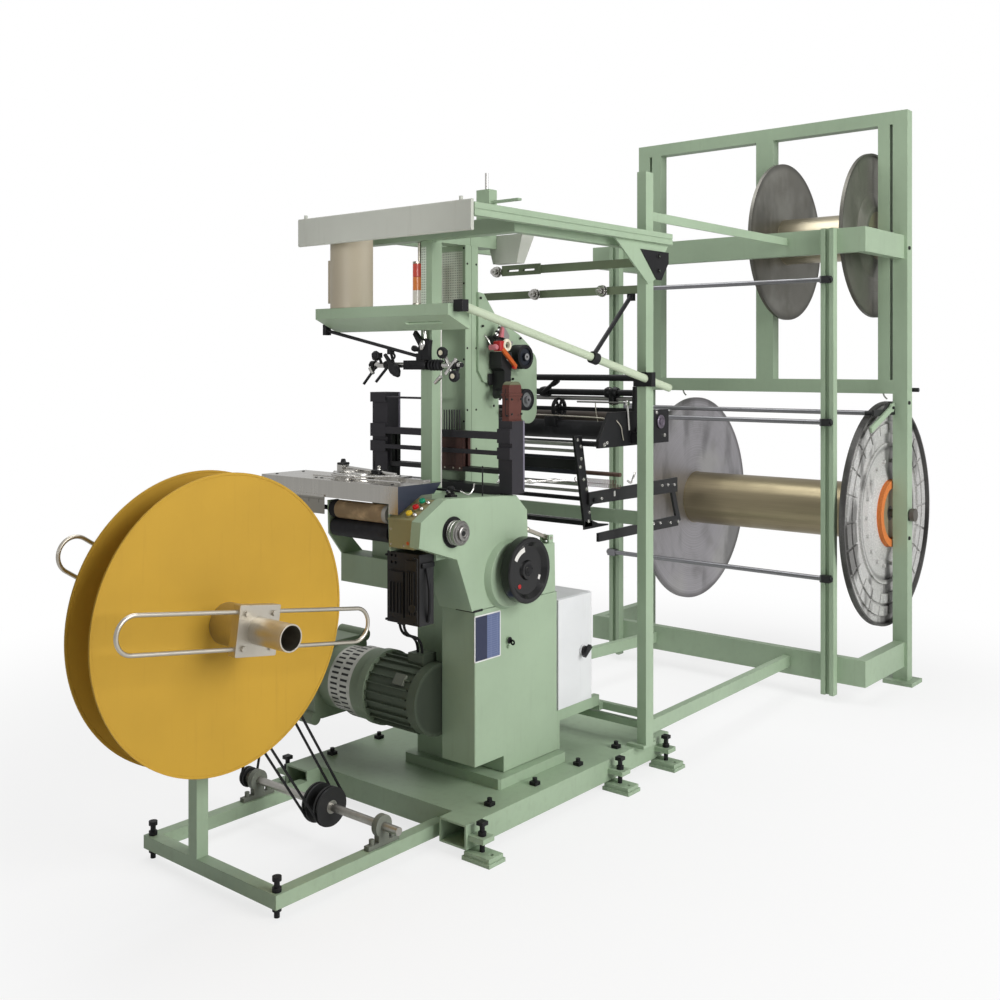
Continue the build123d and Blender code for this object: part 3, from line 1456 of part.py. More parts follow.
# Two heald frames that rise and fall between the guides, each with half of the heald pack
heald_middle = (heald_front + heald_rear) / 2
for frame_name, y in (
    ("heald_frame_front", heald_middle - frame_pitch / 2),
    ("heald_frame_rear", heald_middle + frame_pitch / 2),
):
    near, far = y - frame_thick / 2, y + frame_thick / 2
    first, last = left_guide_in + slide_clearance, right_guide_in - slide_clearance
    with BuildPart() as heald_frame:
        with BuildSketch(Plane.XZ.offset(-far)) as rails:
            with Locations(((first + last) / 2, (frame_low + frame_high) / 2)):
                Rectangle(last - first, frame_high - frame_low)
                Rectangle(last - first - 2 * stick_deep, frame_high - frame_low - 2 * frame_bar, mode=Mode.SUBTRACT)
        extrude(rails.sketch, amount=frame_thick)
        bar((pack_left, pack_right), (near + pack_inset, far - pack_inset), (frame_low, frame_high))
        for step in range(comb_count):
            x = comb_left + step * comb_pitch
            rod((x, y, frame_high - comb_radius), (x, y, frame_high + comb_high), comb_radius)
    save(heald_frame.part, frame_name)

# Side frame: two posts, their cross bars, the box bracket and the floor braces
with BuildPart() as side_frame:
    for side, top in ((1, side_top), (-1, side_top_left)):
        span = sorted((side * side_in, side * side_out))
        bar(span, (side_front, side_rear), (base_top, top))
        foot = sorted((side * (side_in - foot_reach), side * side_out))
        bar(foot, (side_front - 16, side_rear + 16), (base_top, base_top + 12))
    for low, high in side_bars:
        bar((-side_in, side_in), (side_front + 22, side_rear - 8), (low, high))
    for x, start in ((box_left + 4, pedestal_rear), (box_right - 30, cover_rear)):
        bar((x, x + 24), (start, side_front - 4), (box_low - 40, box_low))
    bar((box_right - 30, box_right - 6), (flange_rear + 12, flange_rear + 38), (base_top, box_low - 40))
    bar((box_left + 4, box_right - 6), (side_front - 4, side_front + 22), (box_low - 60, box_low - 30))
    brace_x = (side_in + side_out) / 2
    upper_start = (brace_x, side_rear - 10, upper_brace_z)
    beam_between(upper_start, (brace_far_x, creel_beam_rear, upper_brace_z + 18), bar_thick, upper_brace_high)
    for side in sides:
        low_start = (side * brace_x, side_rear - 10, low_brace_z)
        low_end = (side * brace_far_x, creel_beam_rear, low_brace_z - 32)
        beam_between(low_start, low_end, low_brace_wide, low_brace_high)
    bar((-side_out, side_out), (creel_beam_front, creel_beam_rear + 40), (0, creel_top), Mode.SUBTRACT)
save(side_frame.part, "side_frame")

# Let-off stand: side plates, the dark warp roller, its rods and the drop plates
letoff_out = side_in - letoff_gap
letoff_in = letoff_out - letoff_plate
drop_in = drop_out - drop_plate
with BuildPart() as letoff_frame:
    for side in sides:
        plate_outline = [
            (letoff_front, letoff_low),
            (letoff_front, front_rod_z + front_rod_radius + 4),
            (letoff_front + 68, letoff_high),
            (letoff_roller_y - letoff_ear_half - 6, letoff_high),
            (letoff_roller_y - letoff_ear_half, letoff_high + letoff_ear),
            (letoff_roller_y + letoff_ear_half, letoff_high + letoff_ear),
            (letoff_roller_y + letoff_ear_half + 6, letoff_high),
            (letoff_rear, letoff_high),
            (letoff_rear, letoff_low),
        ]
        side_plate(plate_outline, sorted((side * letoff_in, side * letoff_out)))
        block = sorted((side * letoff_out, side * side_in))
        bar(block, (side_front + 4, side_rear - 4), (letoff_low + 10, letoff_low + 50))
        drop_outline = [
            (drop_top_y, drop_top),
            (drop_top_y + drop_wide, drop_top),
            (drop_bottom_y + drop_wide, drop_bottom),
            (drop_bottom_y, drop_bottom),
        ]
        side_plate(drop_outline, sorted((side * drop_in, side * drop_out)))
    reach = (-letoff_in, letoff_in)
    rod_x(reach, letoff_roller_y, letoff_roller_z, letoff_roller_radius)
    rod_x(reach, letoff_roller_y, upper_rod_z, upper_rod_radius)
    rod_x(reach, front_rod_y, front_rod_z, front_rod_radius)
    rod_x(reach, rear_rod_y, rear_rod_z, rear_rod_radius)
    bore = (-letoff_out, letoff_out)
    rod_x(bore, letoff_roller_y, spindle_z, spindle_radius + shaft_clearance, Mode.SUBTRACT)
    strip_y = drop_top_y + drop_wide
    strip_rise = (drop_strip_z - drop_strip_high / 2, drop_strip_z + drop_strip_high / 2)
    bar((-drop_in, drop_in), (strip_y - letoff_plate, strip_y), strip_rise)
    foot_row = (drop_bottom_y + 6, drop_bottom_y + drop_wide)
    bar((-drop_in, drop_in), foot_row, (drop_bottom + 4, drop_bottom + 4 + drop_bar_high))
    swing_span = (drop_out + panel_gap, drop_out + panel_gap + swing_thick)
    rod_x((-drop_out, swing_span[1] + swing_pin), swing_y, swing_z, swing_pin)
    for side in sides:
        lug = [
            (drop_bottom_y, swing_z + 40),
            (swing_y + 2 * swing_pin, swing_z + 2 * swing_pin),
            (swing_y + 2 * swing_pin, swing_z - 2 * swing_pin),
            (drop_bottom_y, swing_z - 40),
        ]
        side_plate(lug, sorted((side * drop_in, side * drop_out)))
    rod_x((-side_in, side_in), tension_bar_y + upper_rod_radius + 2, stretcher_z, upper_rod_radius)
save(letoff_frame.part, "letoff_frame")

# Tension handwheel on the rod above the warp roller
with BuildPart() as tension_handwheel:
    rod_x((-letoff_out, letoff_out), letoff_roller_y, spindle_z, spindle_radius)
    rim_span = (small_wheel_x - small_wheel_thick / 2, small_wheel_x + small_wheel_thick / 2)
    ring_x(rim_span, letoff_roller_y, spindle_z, small_wheel_radius, small_wheel_radius - small_wheel_rim)
    wheel_middle = Plane(origin=(small_wheel_x, letoff_roller_y, spindle_z), x_dir=(0, 1, 0), z_dir=(1, 0, 0))
    with Locations(wheel_middle):
        with PolarLocations(0, 3, angular_range=180, endpoint=False):
            Box(2 * small_wheel_radius - small_wheel_rim, 2 * small_spoke, 2 * small_spoke)
    rod_x((rim_span[0] - small_spoke, rim_span[1] + small_spoke), letoff_roller_y, spindle_z, 2 * spindle_radius - 2)
save(tension_handwheel.part, "tension_handwheel")

# Swing arm: two long flat arms joined by a link at the far end
with BuildPart() as swing_arm:
    half_high = swing_high / 2
    upper_arm = [
        (swing_y - half_high, swing_z - half_high / 2),
        (swing_y - half_high, swing_z + half_high),
        (swing_far, swing_far_z + half_high),
        (swing_far, swing_far_z - half_high),
    ]
    side_plate(upper_arm, swing_span)
    link_low = swing_far_z - swing_drop
    link = [
        (swing_far - 2 * swing_link, swing_far_z),
        (swing_far - swing_link, swing_far_z),
        (swing_far + swing_link, link_low),
        (swing_far, link_low - swing_link / 2),
    ]
    side_plate(link, swing_span)
    lower_arm = [
        (swing_y + half_high, link_low - swing_lower_high / 2),
        (swing_y + half_high, link_low + swing_lower_high / 4),
        (swing_far + swing_link / 4, link_low + swing_lower_high / 2),
        (swing_far + swing_link / 4, link_low - swing_lower_high / 2),
    ]
    side_plate(lower_arm, swing_span)
    rod_x(swing_span, swing_y, swing_z, swing_pin + shaft_clearance, Mode.SUBTRACT)
save(swing_arm.part, "swing_arm")

# Creel main frame: two tall posts on foot plates and the bars between them
beam_y = (creel_front_face + creel_rear_face) / 2
upper_axis_z = creel_top - beam_seat
upper_right = outer_stile - upper_disc_gap
post_depth = (creel_front_face, creel_rear_face)
inner_stile = (stile_left, stile_left + stile_wide)
end_stile = (outer_stile, outer_stile + creel_stile)
with BuildPart() as creel_frame:
    for side in sides:
        span = sorted((side * creel_in, side * creel_out))
        bar(span, post_depth, (0, creel_top))
        foot = sorted((side * (creel_in - foot_reach), side * (creel_out + foot_reach)))
        bar(foot, (creel_front_face - foot_reach, creel_rear_face + foot_reach), (0, foot_thick))
        rod_x(span, beam_y, lower_axis_z, beam_axle + shaft_clearance, Mode.SUBTRACT)
    for low, high in ((creel_top - creel_bar, creel_top), (window_bar_low, window_bar_high)):
        bar((-creel_in, creel_in), post_depth, (low, high))
    for span in ((-end_stile[1], -end_stile[0]), inner_stile, end_stile):
        bar(span, post_depth, (window_bar_high, creel_top - creel_bar))
    for span in (inner_stile, end_stile):
        rod_x(span, beam_y, upper_axis_z, beam_axle + shaft_clearance, Mode.SUBTRACT)
save(creel_frame.part, "creel_frame")

# Creel front: two long beams, their side arms and the slotted guide stands
with BuildPart() as creel_front:
    for low, high in ((mid_beam_low, mid_beam_high), (low_beam_low, low_beam_high)):
        bar((-creel_beam_end, creel_beam_end), (creel_beam_front, creel_beam_rear), (low, high))
        for side in sides:
            span = sorted((side * (creel_in + arm_thick - 4), side * creel_beam_end))
            bar(span, (creel_beam_rear, creel_front_face), (low, high))
    for side in sides:
        span = (side * stand_x - stand_half, side * stand_x + stand_half)
        slot = (side * stand_x - stand_half / 3, side * stand_x + stand_half / 3)
        bar(span, (stand_front, creel_beam_front), (stand_low, mid_beam_high))
        bar(slot, (stand_front, stand_front + stand_slot_deep), (stand_low, mid_beam_high), Mode.SUBTRACT)
save(creel_front.part, "creel_front")

# Guide rods across the stands, with their clamps, the hook rod and the brake's arms
with BuildPart() as guide_rods:
    rod_y = stand_front - guide_rod_radius - 3
    for z in guide_rod_rows:
        rod_x((-stand_x - stand_half, stand_x + stand_half), rod_y, z, guide_rod_radius)
        clamp_rise = (z - rod_clamp_high / 2, z + rod_clamp_high / 2)
        for side in sides:
            clamp_span = (side * stand_x - rod_clamp_half, side * stand_x + rod_clamp_half)
            bar(clamp_span, (2 * rod_y - stand_front, stand_front), clamp_rise)
    hook_y = creel_rear_face + hook_rod_y
    rod_x((hook_rod_left, hook_rod_right), hook_y, hook_rod_z, hook_rod_radius)
    hook_rise = (hook_rod_z - hook_high / 2, hook_rod_z + hook_high / 2)
    for x in hooks:
        bar((x - hook_half, x + hook_half), (creel_rear_face, hook_y + hook_half), hook_rise)
    arm_near = creel_in + 2
    for side in sides:
        arm = [
            (brake_arm_y, arm_low),
            (brake_arm_y, arm_mid),
            (brake_y - 2 * arm_step, arm_mid),
            (brake_y - arm_step, arm_high),
            (creel_front_face, arm_high),
            (creel_front_face, arm_low),
        ]
        side_plate(arm, sorted((side * arm_near, side * (arm_near + arm_thick))))
    reach = arm_near + arm_thick - 2
    rod_x((-reach, reach), brake_rod_y, brake_rod_z, guide_rod_radius)
    rod_x((arm_near, arm_near + 3 * arm_thick), brake_y, brake_z, brake_pin)
save(guide_rods.part, "guide_rods")


def beam_disc(x, z, radius, hub, lip, outward):
    """Adds a dished warp beam disc with a rolled rim, turned about the beam axis."""
    half_section = [
        (0, 0),
        (radius, 0),
        (radius, outward * lip),
        (radius - disc_rim, outward * lip),
        (radius - disc_rim, outward * disc_plate),
        (hub + disc_foot + disc_slope, outward * disc_plate),
        (hub + disc_foot, outward * disc_cone),
        (0, outward * disc_cone),
    ]
    with BuildSketch(Plane(origin=(x, beam_y, z), x_dir=(0, 0, 1), z_dir=(0, 1, 0))) as section:
        with BuildLine():
            Polyline(*half_section, close=True)
        make_face()
    revolve(section.sketch, axis=Axis((x, beam_y, z), (1, 0, 0)))


# Upper warp beam: two dished discs on a barrel and an axle
with BuildPart() as upper_beam:
    rod_x((upper_left, upper_right), beam_y, upper_axis_z, upper_barrel)
    beam_disc(upper_left, upper_axis_z, upper_radius, upper_barrel, disc_lip, -1)
    beam_disc(upper_right, upper_axis_z, upper_radius, upper_barrel, disc_lip, 1)
    rod_x((inner_stile[0], end_stile[1]), beam_y, upper_axis_z, beam_axle)
save(upper_beam.part, "upper_beam")

# Lower warp beam: a plain disc, the cast disc with its block rows, studs and hub ring
with BuildPart() as lower_beam:
    rod_x((lower_left, lower_right), beam_y, lower_axis_z, lower_barrel)
    beam_disc(lower_left, lower_axis_z, lower_radius, lower_barrel, disc_lip, -1)
    beam_disc(lower_right, lower_axis_z, lower_radius, lower_barrel, cast_lip, 1)
    cast_face = Plane.YZ.offset(lower_right + disc_plate)
    with BuildSketch(cast_face) as block_rows:
        with Locations((beam_y, lower_axis_z)):
            for row in reversed(cast_row_radii):
                Circle(row + cast_row_deep / 2)
                Circle(row - cast_row_deep / 2, mode=Mode.SUBTRACT)
            with PolarLocations(sum(cast_row_radii) / 2, cast_blocks):
                Rectangle(3 * cast_row_deep, cast_block_gap, mode=Mode.SUBTRACT)
    extrude(block_rows.sketch, amount=cast_block_high)
    with BuildSketch(cast_face) as step_ring:
        with Locations((beam_y, lower_axis_z)):
            Circle(cast_step)
            Circle(cast_step - cast_step_deep, mode=Mode.SUBTRACT)
            with PolarLocations(cast_stud_radius, cast_studs):
                Circle(cast_stud)
    extrude(step_ring.sketch, amount=cast_block_high)
    hub_span = (lower_right, lower_right + hub_ring_high)
    ring_x(hub_span, beam_y, lower_axis_z, hub_ring, hub_ring - hub_ring_wide)
    rod_x((-creel_out, creel_out + beam_cap), beam_y, lower_axis_z, beam_axle)
    rod_x((creel_out + beam_cap / 2, creel_out + 2 * beam_cap), beam_y, lower_axis_z, beam_cap_radius)
save(lower_beam.part, "lower_beam")

# Brake lever of the lower beam, on its pin
with BuildPart() as brake_lever:
    lever_x = arm_near + arm_thick + brake_pin
    lever_span = (lever_x - arm_thick / 2, lever_x + arm_thick / 2)
    lever_tip = (lever_x, brake_tip_y, brake_tip_z)
    run_y = brake_y - brake_tip_y
    lever_end = (lever_x, brake_y + 26, brake_z + 26 * (brake_z - brake_tip_z) / run_y)
    beam_between(lever_end, lever_tip, arm_thick, brake_wide)
    rod_x(lever_span, brake_y, brake_z, beam_axle)
    rod_x(lever_span, brake_y, brake_z, brake_pin + shaft_clearance, Mode.SUBTRACT)
save(brake_lever.part, "brake_lever")
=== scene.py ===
import json
import math

import bmesh
import bpy
import numpy as np
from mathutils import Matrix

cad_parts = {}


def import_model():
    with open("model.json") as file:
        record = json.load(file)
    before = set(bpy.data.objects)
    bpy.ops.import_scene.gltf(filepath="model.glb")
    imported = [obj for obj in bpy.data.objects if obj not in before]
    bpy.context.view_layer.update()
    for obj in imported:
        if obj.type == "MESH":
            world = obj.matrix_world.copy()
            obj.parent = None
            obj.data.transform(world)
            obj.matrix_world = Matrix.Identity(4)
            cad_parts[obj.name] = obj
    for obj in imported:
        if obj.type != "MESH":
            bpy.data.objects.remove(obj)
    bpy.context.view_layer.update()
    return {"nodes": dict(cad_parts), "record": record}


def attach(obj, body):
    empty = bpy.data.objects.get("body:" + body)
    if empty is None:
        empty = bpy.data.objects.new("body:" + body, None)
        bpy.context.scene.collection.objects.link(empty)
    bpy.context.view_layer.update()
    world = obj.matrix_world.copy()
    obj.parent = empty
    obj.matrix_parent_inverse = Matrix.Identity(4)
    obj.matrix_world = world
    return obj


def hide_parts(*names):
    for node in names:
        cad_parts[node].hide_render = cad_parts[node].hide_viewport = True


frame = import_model()
nodes = frame["nodes"]

# Camera: level, at eye height, at the right front corner of the loom
eye = bpy.data.cameras.new("eye")
eye.lens = 41.18
eye.sensor_width = 36.0
eye.shift_y = -0.135
eye.clip_end = 100.0
camera = bpy.data.objects.new("camera", eye)
camera.location = (2.72, -3.15, 1.5)
camera.rotation_euler = (math.radians(90), 0, math.radians(39.9))
bpy.context.scene.collection.objects.link(camera)
bpy.context.scene.camera = camera
bpy.context.scene.view_settings.view_transform = "Standard"


def tint(red, green, blue):
    """The linear colour of three screen values from 0 to 255."""
    screen = np.array([red, green, blue]) / 255
    linear = np.where(screen <= 0.04045, screen / 12.92, ((screen + 0.055) / 1.055) ** 2.4)
    return (*linear.tolist(), 1.0)


def shade(colour, factor):
    """A colour made lighter or darker by a factor."""
    return (*[min(1.0, part * factor) for part in colour[:3]], 1.0)


def sum_node(operation, swapped=False):
    """An operator that adds one Math node, with its two values swapped in a reflected form."""

    def add_node(self, *others):
        values = (*others, self) if swapped else (self, *others)
        return self.paint.node("Math", {"operation": operation}, dict(enumerate(values)))

    return add_node


class Value:
    """A socket that stands in a sum as a number does."""

    def __init__(self, paint, socket):
        self.paint = paint
        self.socket = socket

    __add__ = __radd__ = sum_node("ADD")
    __sub__ = sum_node("SUBTRACT")
    __rsub__ = sum_node("SUBTRACT", swapped=True)
    __mul__ = __rmul__ = sum_node("MULTIPLY")
    __truediv__ = sum_node("DIVIDE")
    __pow__ = sum_node("POWER")
    __mod__ = sum_node("MODULO")
    __abs__ = sum_node("ABSOLUTE")
    larger = sum_node("MAXIMUM")


def saw(value, pitch):
    """A saw of 0 to 1 on each step of the pitch; 200 steps are added so that it never meets a negative value."""
    return (value / pitch + 200.0) % 1.0


class Paint:
    """A material or a world under construction, with the nodes that its pattern needs."""

    def __init__(self, name, kind=bpy.data.materials):
        self.made = kind.new(name)
        self.made.use_nodes = True
        self.tree = self.made.node_tree
        self.tree.nodes.clear()
        self.place = self.node("TexCoord", output="Object")
        self.round = None

    def node(self, kind, settings=None, values=None, output=0):
        """Adds a node: its settings go in first, then a value or a link on each named socket."""
        made = self.tree.nodes.new("ShaderNode" + kind)
        for key, setting in (settings or {}).items():
            setattr(made, key, setting)
        for key, value in (values or {}).items():
            if isinstance(value, Value):
                self.tree.links.new(value.socket, made.inputs[key])
            else:
                made.inputs[key].default_value = value
        return Value(self, made.outputs[output]) if made.outputs else None

    def axis(self, name):
        """The X, Y or Z of the loom at each place of the surface."""
        return self.node("SeparateXYZ", None, {0: self.place}, name)

    def noise(self, scale, detail=3.0, stretch=(1, 1, 1)):
        """Clouds of 0 to 1, finer with the scale, and finer again along each axis by its stretch."""
        place = self.node("Mapping", {"vector_type": "POINT"}, {"Vector": self.place, "Scale": stretch})
        return self.node("TexNoise", None, {"Vector": place, "Scale": scale, "Detail": detail})

    def smooth(self, value, low, high):
        """0 below low, 1 above high and an even rise between them; low may be the higher one."""
        if low > high:
            return 1 - self.smooth(value, high, low)
        return self.node("MapRange", {"interpolation_type": "SMOOTHSTEP"}, {0: value, 1: low, 2: high})

    def band(self, value, low, high, soft=0.0006):
        """1 between two values and 0 outside them."""
        return self.smooth(value, low - soft, low + soft) * self.smooth(value, high + soft, high - soft)

    def blend(self, mask, first, second):
        """The first colour where the mask is 0 and the second where it is 1."""
        return self.node("Mix", {"data_type": "RGBA"}, {0: mask, 6: first, 7: second}, 2)

    def edges(self, radius):
        """1 on the sharp edges of the solid: where the rounded and the true normal part."""
        self.round = self.node("Bevel", {"samples": 3}, {"Radius": radius})
        flat = self.node("NewGeometry", None, None, "Normal")
        dot = self.node("VectorMath", {"operation": "DOT_PRODUCT"}, {0: self.round, 1: flat}, "Value")
        return self.smooth(dot, 0.995, 0.86)

    def facing(self, axis):
        """How far the surface faces along an axis of the loom, from -1 to 1."""
        flat = self.node("NewGeometry", None, None, "Normal")
        return self.node("SeparateXYZ", None, {0: flat}, axis)

    def radius(self, y, z):
        """The distance from a line along X through y and z."""
        away = self.axis("Y") - y
        up = self.axis("Z") - z
        return (away * away + up * up) ** 0.5

    def turn(self, y, z, count):
        """A saw of count teeth round a line along X, from 0 to 1 on each tooth."""
        away = self.axis("Y") - y
        up = self.axis("Z") - z
        angle = self.node("Math", {"operation": "ARCTAN2"}, {0: up, 1: away})
        return (angle * (count / (2 * math.pi)) + 2.0 * count) % 1.0

    def holes(self, first, second, pitch, size):
        """1 inside each round hole of a square grid over two coordinates, its size a share of the pitch."""
        u = abs(saw(first, pitch) - 0.5)
        v = abs(saw(second, pitch) - 0.5)
        return self.smooth((u * u + v * v) ** 0.5, size + 0.06, size - 0.06)

    def finish(self, colour, rough, metal, height, depth, gloss, coat=0.0, pattern=None):
        """Lets a pattern change what varies, joins everything to the surface and returns the material."""
        if pattern:
            colour, rough, metal, height = pattern(self, colour, rough, metal, height)
        bump = {"Height": height, "Distance": depth, "Strength": 1.0}
        if self.round:
            bump["Normal"] = self.round
        values = {"Base Color": colour, "Roughness": rough, "Metallic": metal, "Coat Weight": coat}
        values["Specular IOR Level"] = gloss
        values["Normal"] = self.node("Bump", None, bump)
        surface = self.node("BsdfPrincipled", None, values)
        self.node("OutputMaterial", None, {"Surface": surface})
        return self.made


grime = tint(92, 88, 70)


def enamel(name, colour, shine=0.36, soil=0.4, chips_and_highlight=0.35, soil_colour=grime, pattern=None):
    """Sprayed enamel: faint clouds, floor dust, rubbed edges lightened as part wear and part painted highlight, an
    orange-peel skin and a pattern of its own.
    """
    paint = Paint(name)
    edge = paint.edges(0.0022)
    cloud = paint.noise(2.3, 4)
    grain = paint.noise(38, 4)
    base = paint.blend(paint.smooth(cloud, 0.3, 0.7), shade(colour, 0.94), shade(colour, 1.06))
    near_floor = paint.smooth(paint.axis("Z"), 0.3, 0.0)
    dust = paint.smooth(grain, 0.46, 0.86) * (near_floor * 0.3 + 0.1) * soil
    base = paint.blend(dust, base, soil_colour)
    streak = paint.smooth(paint.noise(9, 3, (6, 6, 0.5)), 0.56, 0.8) * 0.08
    base = paint.blend(streak, base, shade(soil_colour, 1.1))
    # Rubbed edges: a lighter copy of the enamel in patches, part wear and part painted highlight
    rubbed_and_lit_edge = edge * paint.smooth(paint.noise(21, 4), 0.4, 0.62)
    base = paint.blend(rubbed_and_lit_edge * chips_and_highlight, base, shade(colour, 1.35))
    rough = shine + cloud * 0.08 + dust * 0.35 + grain * 0.04
    return paint.finish(base, rough, 0.0, paint.noise(260, 2), 0.00022, 0.3, pattern=pattern)


def steel(name, colour, rough=0.28, soil=0.25, metal=1.0, lines=0.00012, pattern=None):
    """Turned or drawn steel: fine rings across X, with patches of oil and dust, and a painted highlight on every
    edge.
    """
    paint = Paint(name)
    edge = paint.edges(0.0012)
    ring = paint.noise(1.0, 3, (260, 3, 3))
    patch = paint.noise(7, 5)
    base = paint.blend(ring, shade(colour, 0.86), shade(colour, 1.12))
    base = paint.blend(paint.smooth(patch, 0.52, 0.8) * soil, base, tint(84, 74, 58))
    # Painted highlight: the edges a lighter copy of the steel
    base = paint.blend(edge * 0.4, base, shade(colour, 1.4))
    grip = rough + ring * 0.1 + paint.smooth(patch, 0.4, 0.8) * 0.16
    return paint.finish(base, grip, metal, ring, lines, 0.5, pattern=pattern)


def blackened(name, colour=tint(27, 27, 29), rough=0.42):
    """Blackened steel with a dull sheen, bare at the edges."""
    paint = Paint(name)
    edge = paint.edges(0.0012)
    patch = paint.noise(14, 5)
    base = paint.blend(patch, shade(colour, 0.7), shade(colour, 1.5))
    bare = edge * paint.smooth(paint.noise(40, 3), 0.42, 0.6)
    base = paint.blend(bare * 0.5, base, tint(150, 146, 138))
    grip = rough + patch * 0.16 - bare * 0.1
    return paint.finish(base, grip, 0.2, paint.noise(320, 2), 0.00015, 0.25)


def rubber(name, colour=tint(26, 26, 27), rough=0.62, pattern=None):
    """Rubber: matt, powdery in patches, with a fine tooth."""
    paint = Paint(name)
    powder = paint.noise(18, 5)
    base = paint.blend(paint.smooth(powder, 0.45, 0.8), colour, shade(colour, 2.2))
    grip = rough + powder * 0.15
    return paint.finish(base, grip, 0.0, paint.noise(700, 2), 0.00025, 0.2, pattern=pattern)


def plastic(name, colour, rough=0.3, depth=0.00008, pattern=None, coat=0.0):
    """Moulded plastic: an even colour with a faint mottle and skin."""
    paint = Paint(name)
    paint.edges(0.0012)
    mottle = paint.noise(30, 3)
    base = paint.blend(mottle, shade(colour, 0.9), shade(colour, 1.1))
    grip = rough + mottle * 0.06
    return paint.finish(base, grip, 0.0, paint.noise(500, 2), depth, 0.35, coat, pattern)


def world(axis, along, first, second):
    """Puts a distance along an axis and two across it (Y Z for X, X Z for Y, X Y for Z) into X, Y, Z order."""
    order = {"X": (along, first, second), "Y": (first, along, second), "Z": (first, second, along)}[axis]
    return np.stack(np.broadcast_arrays(*order), axis=-1)


def turned(axis, centre, profile, steps):
    """A turned form: each radius of the profile is carried round its circle, centre + radius * (cos a, sin a).

    The centre is the two coordinates across the axis, or arrays of them for many copies.
    """
    radius, along = np.array(profile, float).T[..., None]
    angle = np.linspace(0, 2 * np.pi, steps, endpoint=False)
    first, second = [np.asarray(value, float)[..., None, None] for value in centre]
    return world(axis, along + 0 * angle, first + radius * np.cos(angle), second + radius * np.sin(angle))


def prism(axis, outline, low, high, rim=0.0008):
    """A flat form: its outline drawn in to the middle at both faces and by the rim at both edges."""
    outline = np.array(outline, float)
    middle = outline.mean(axis=0)
    reach = np.abs(outline - middle).max()
    share = np.array([0, 1 - rim / reach, 1, 1, 1 - rim / reach, 0])[:, None, None]
    along = np.array([low, low, low + rim, high - rim, high, high])[:, None]
    flat = middle + (outline - middle) * share
    return world(axis, along + 0 * flat[..., 0], flat[..., 0], flat[..., 1])


def rounded(middle, width, height, corner, steps=4):
    """A rectangle with round corners: each corner's middle plus a quarter circle about it."""
    quarter = np.linspace(0, np.pi / 2, steps)
    turn = (np.arange(4)[:, None] * np.pi / 2 + quarter).ravel()
    side = np.repeat([[1, 1], [-1, 1], [-1, -1], [1, -1]], steps, axis=0)
    arc = corner * np.stack([np.cos(turn), np.sin(turn)], axis=1)
    return np.array(middle) + side * (np.array([width, height]) / 2 - corner) + arc


def block(x, y, z, rim=0.0012):
    """A block with softened edges: a rounded rectangle in X and Y carried from low to high."""
    outline = rounded(((x[0] + x[1]) / 2, (y[0] + y[1]) / 2), x[1] - x[0], y[1] - y[0], rim * 1.2, 3)
    return prism("Z", outline, z[0], z[1], rim)


def tube(path, radius, sides=10, capped=True):
    """A round rod: a circle across the line at each point of the path, its radius drawn to nothing at the ends.

    The circle's two directions come from the line's tangent and a fixed direction well away from it.
    """
    path = np.array(path, float)
    radius = np.broadcast_to(np.asarray(radius, float), len(path))
    if capped:
        path = np.concatenate([path[:1], path, path[-1:]])
        radius = np.concatenate([[0.0], radius, [0.0]])
    tangent = np.gradient(path, axis=0)
    tangent[0], tangent[-1] = tangent[1], tangent[-2]
    tangent /= np.linalg.norm(tangent, axis=1)[:, None] + 1e-12
    fixed = np.eye(3)[np.abs(tangent).mean(axis=0).argmin()]
    side = np.cross(tangent, fixed)
    side /= np.linalg.norm(side, axis=1)[:, None]
    other = np.cross(tangent, side)
    angle = np.linspace(0, 2 * np.pi, sides, endpoint=False)[None, :, None]
    ring = side[:, None] * np.cos(angle) + other[:, None] * np.sin(angle)
    return path[:, None] + ring * radius[:, None, None]


def curve(points, count):
    """A smooth line through points: on each span the Catmull-Rom cubic of its four neighbours."""
    points = np.array(points, float)
    ends = np.concatenate([[2 * points[0] - points[1]], points, [2 * points[-1] - points[-2]]])
    place = np.linspace(0, len(points) - 1 - 1e-9, count)
    span = place.astype(int)
    t = (place - span)[:, None]
    a, b, c, d = (ends[span + step] for step in range(4))
    return 0.5 * (2 * b + (c - a) * t + (2 * a - 5 * b + 4 * c - d) * t**2 + (3 * b - a - 3 * c + d) * t**3)


def spring(start, end, radius, turns):
    """A coil spring: start + t * run, plus a circle of the radius that turns as t grows, ten points a turn."""
    start, end = np.array(start, float), np.array(end, float)
    run = end - start
    fixed = np.eye(3)[np.abs(run).argmin()]
    side = np.cross(run, fixed)
    side /= np.linalg.norm(side)
    other = np.cross(run / np.linalg.norm(run), side)
    t = np.linspace(0, 1, turns * 10)[:, None]
    angle = 2 * np.pi * turns * t
    return start + run * t + radius * (side * np.cos(angle) + other * np.sin(angle))


def heads(axis, places, face, size, high, sides=6, socket=0.0):
    """Screw heads at many places on a face: a turned profile with few sides, sunk in the middle for a socket."""
    places = np.array(places, float)
    way = 1 if high > 0 else -1
    profile = [(size, face - way * 0.002), (size, face + high * 0.75), (size * 0.86, face + high)]
    if socket:
        profile += [(size * socket, face + high), (size * socket * 0.9, face + high * 0.3)]
    profile += [(0.0, profile[-1][1])]
    return turned(axis, (places[:, 0], places[:, 1]), profile, sides)


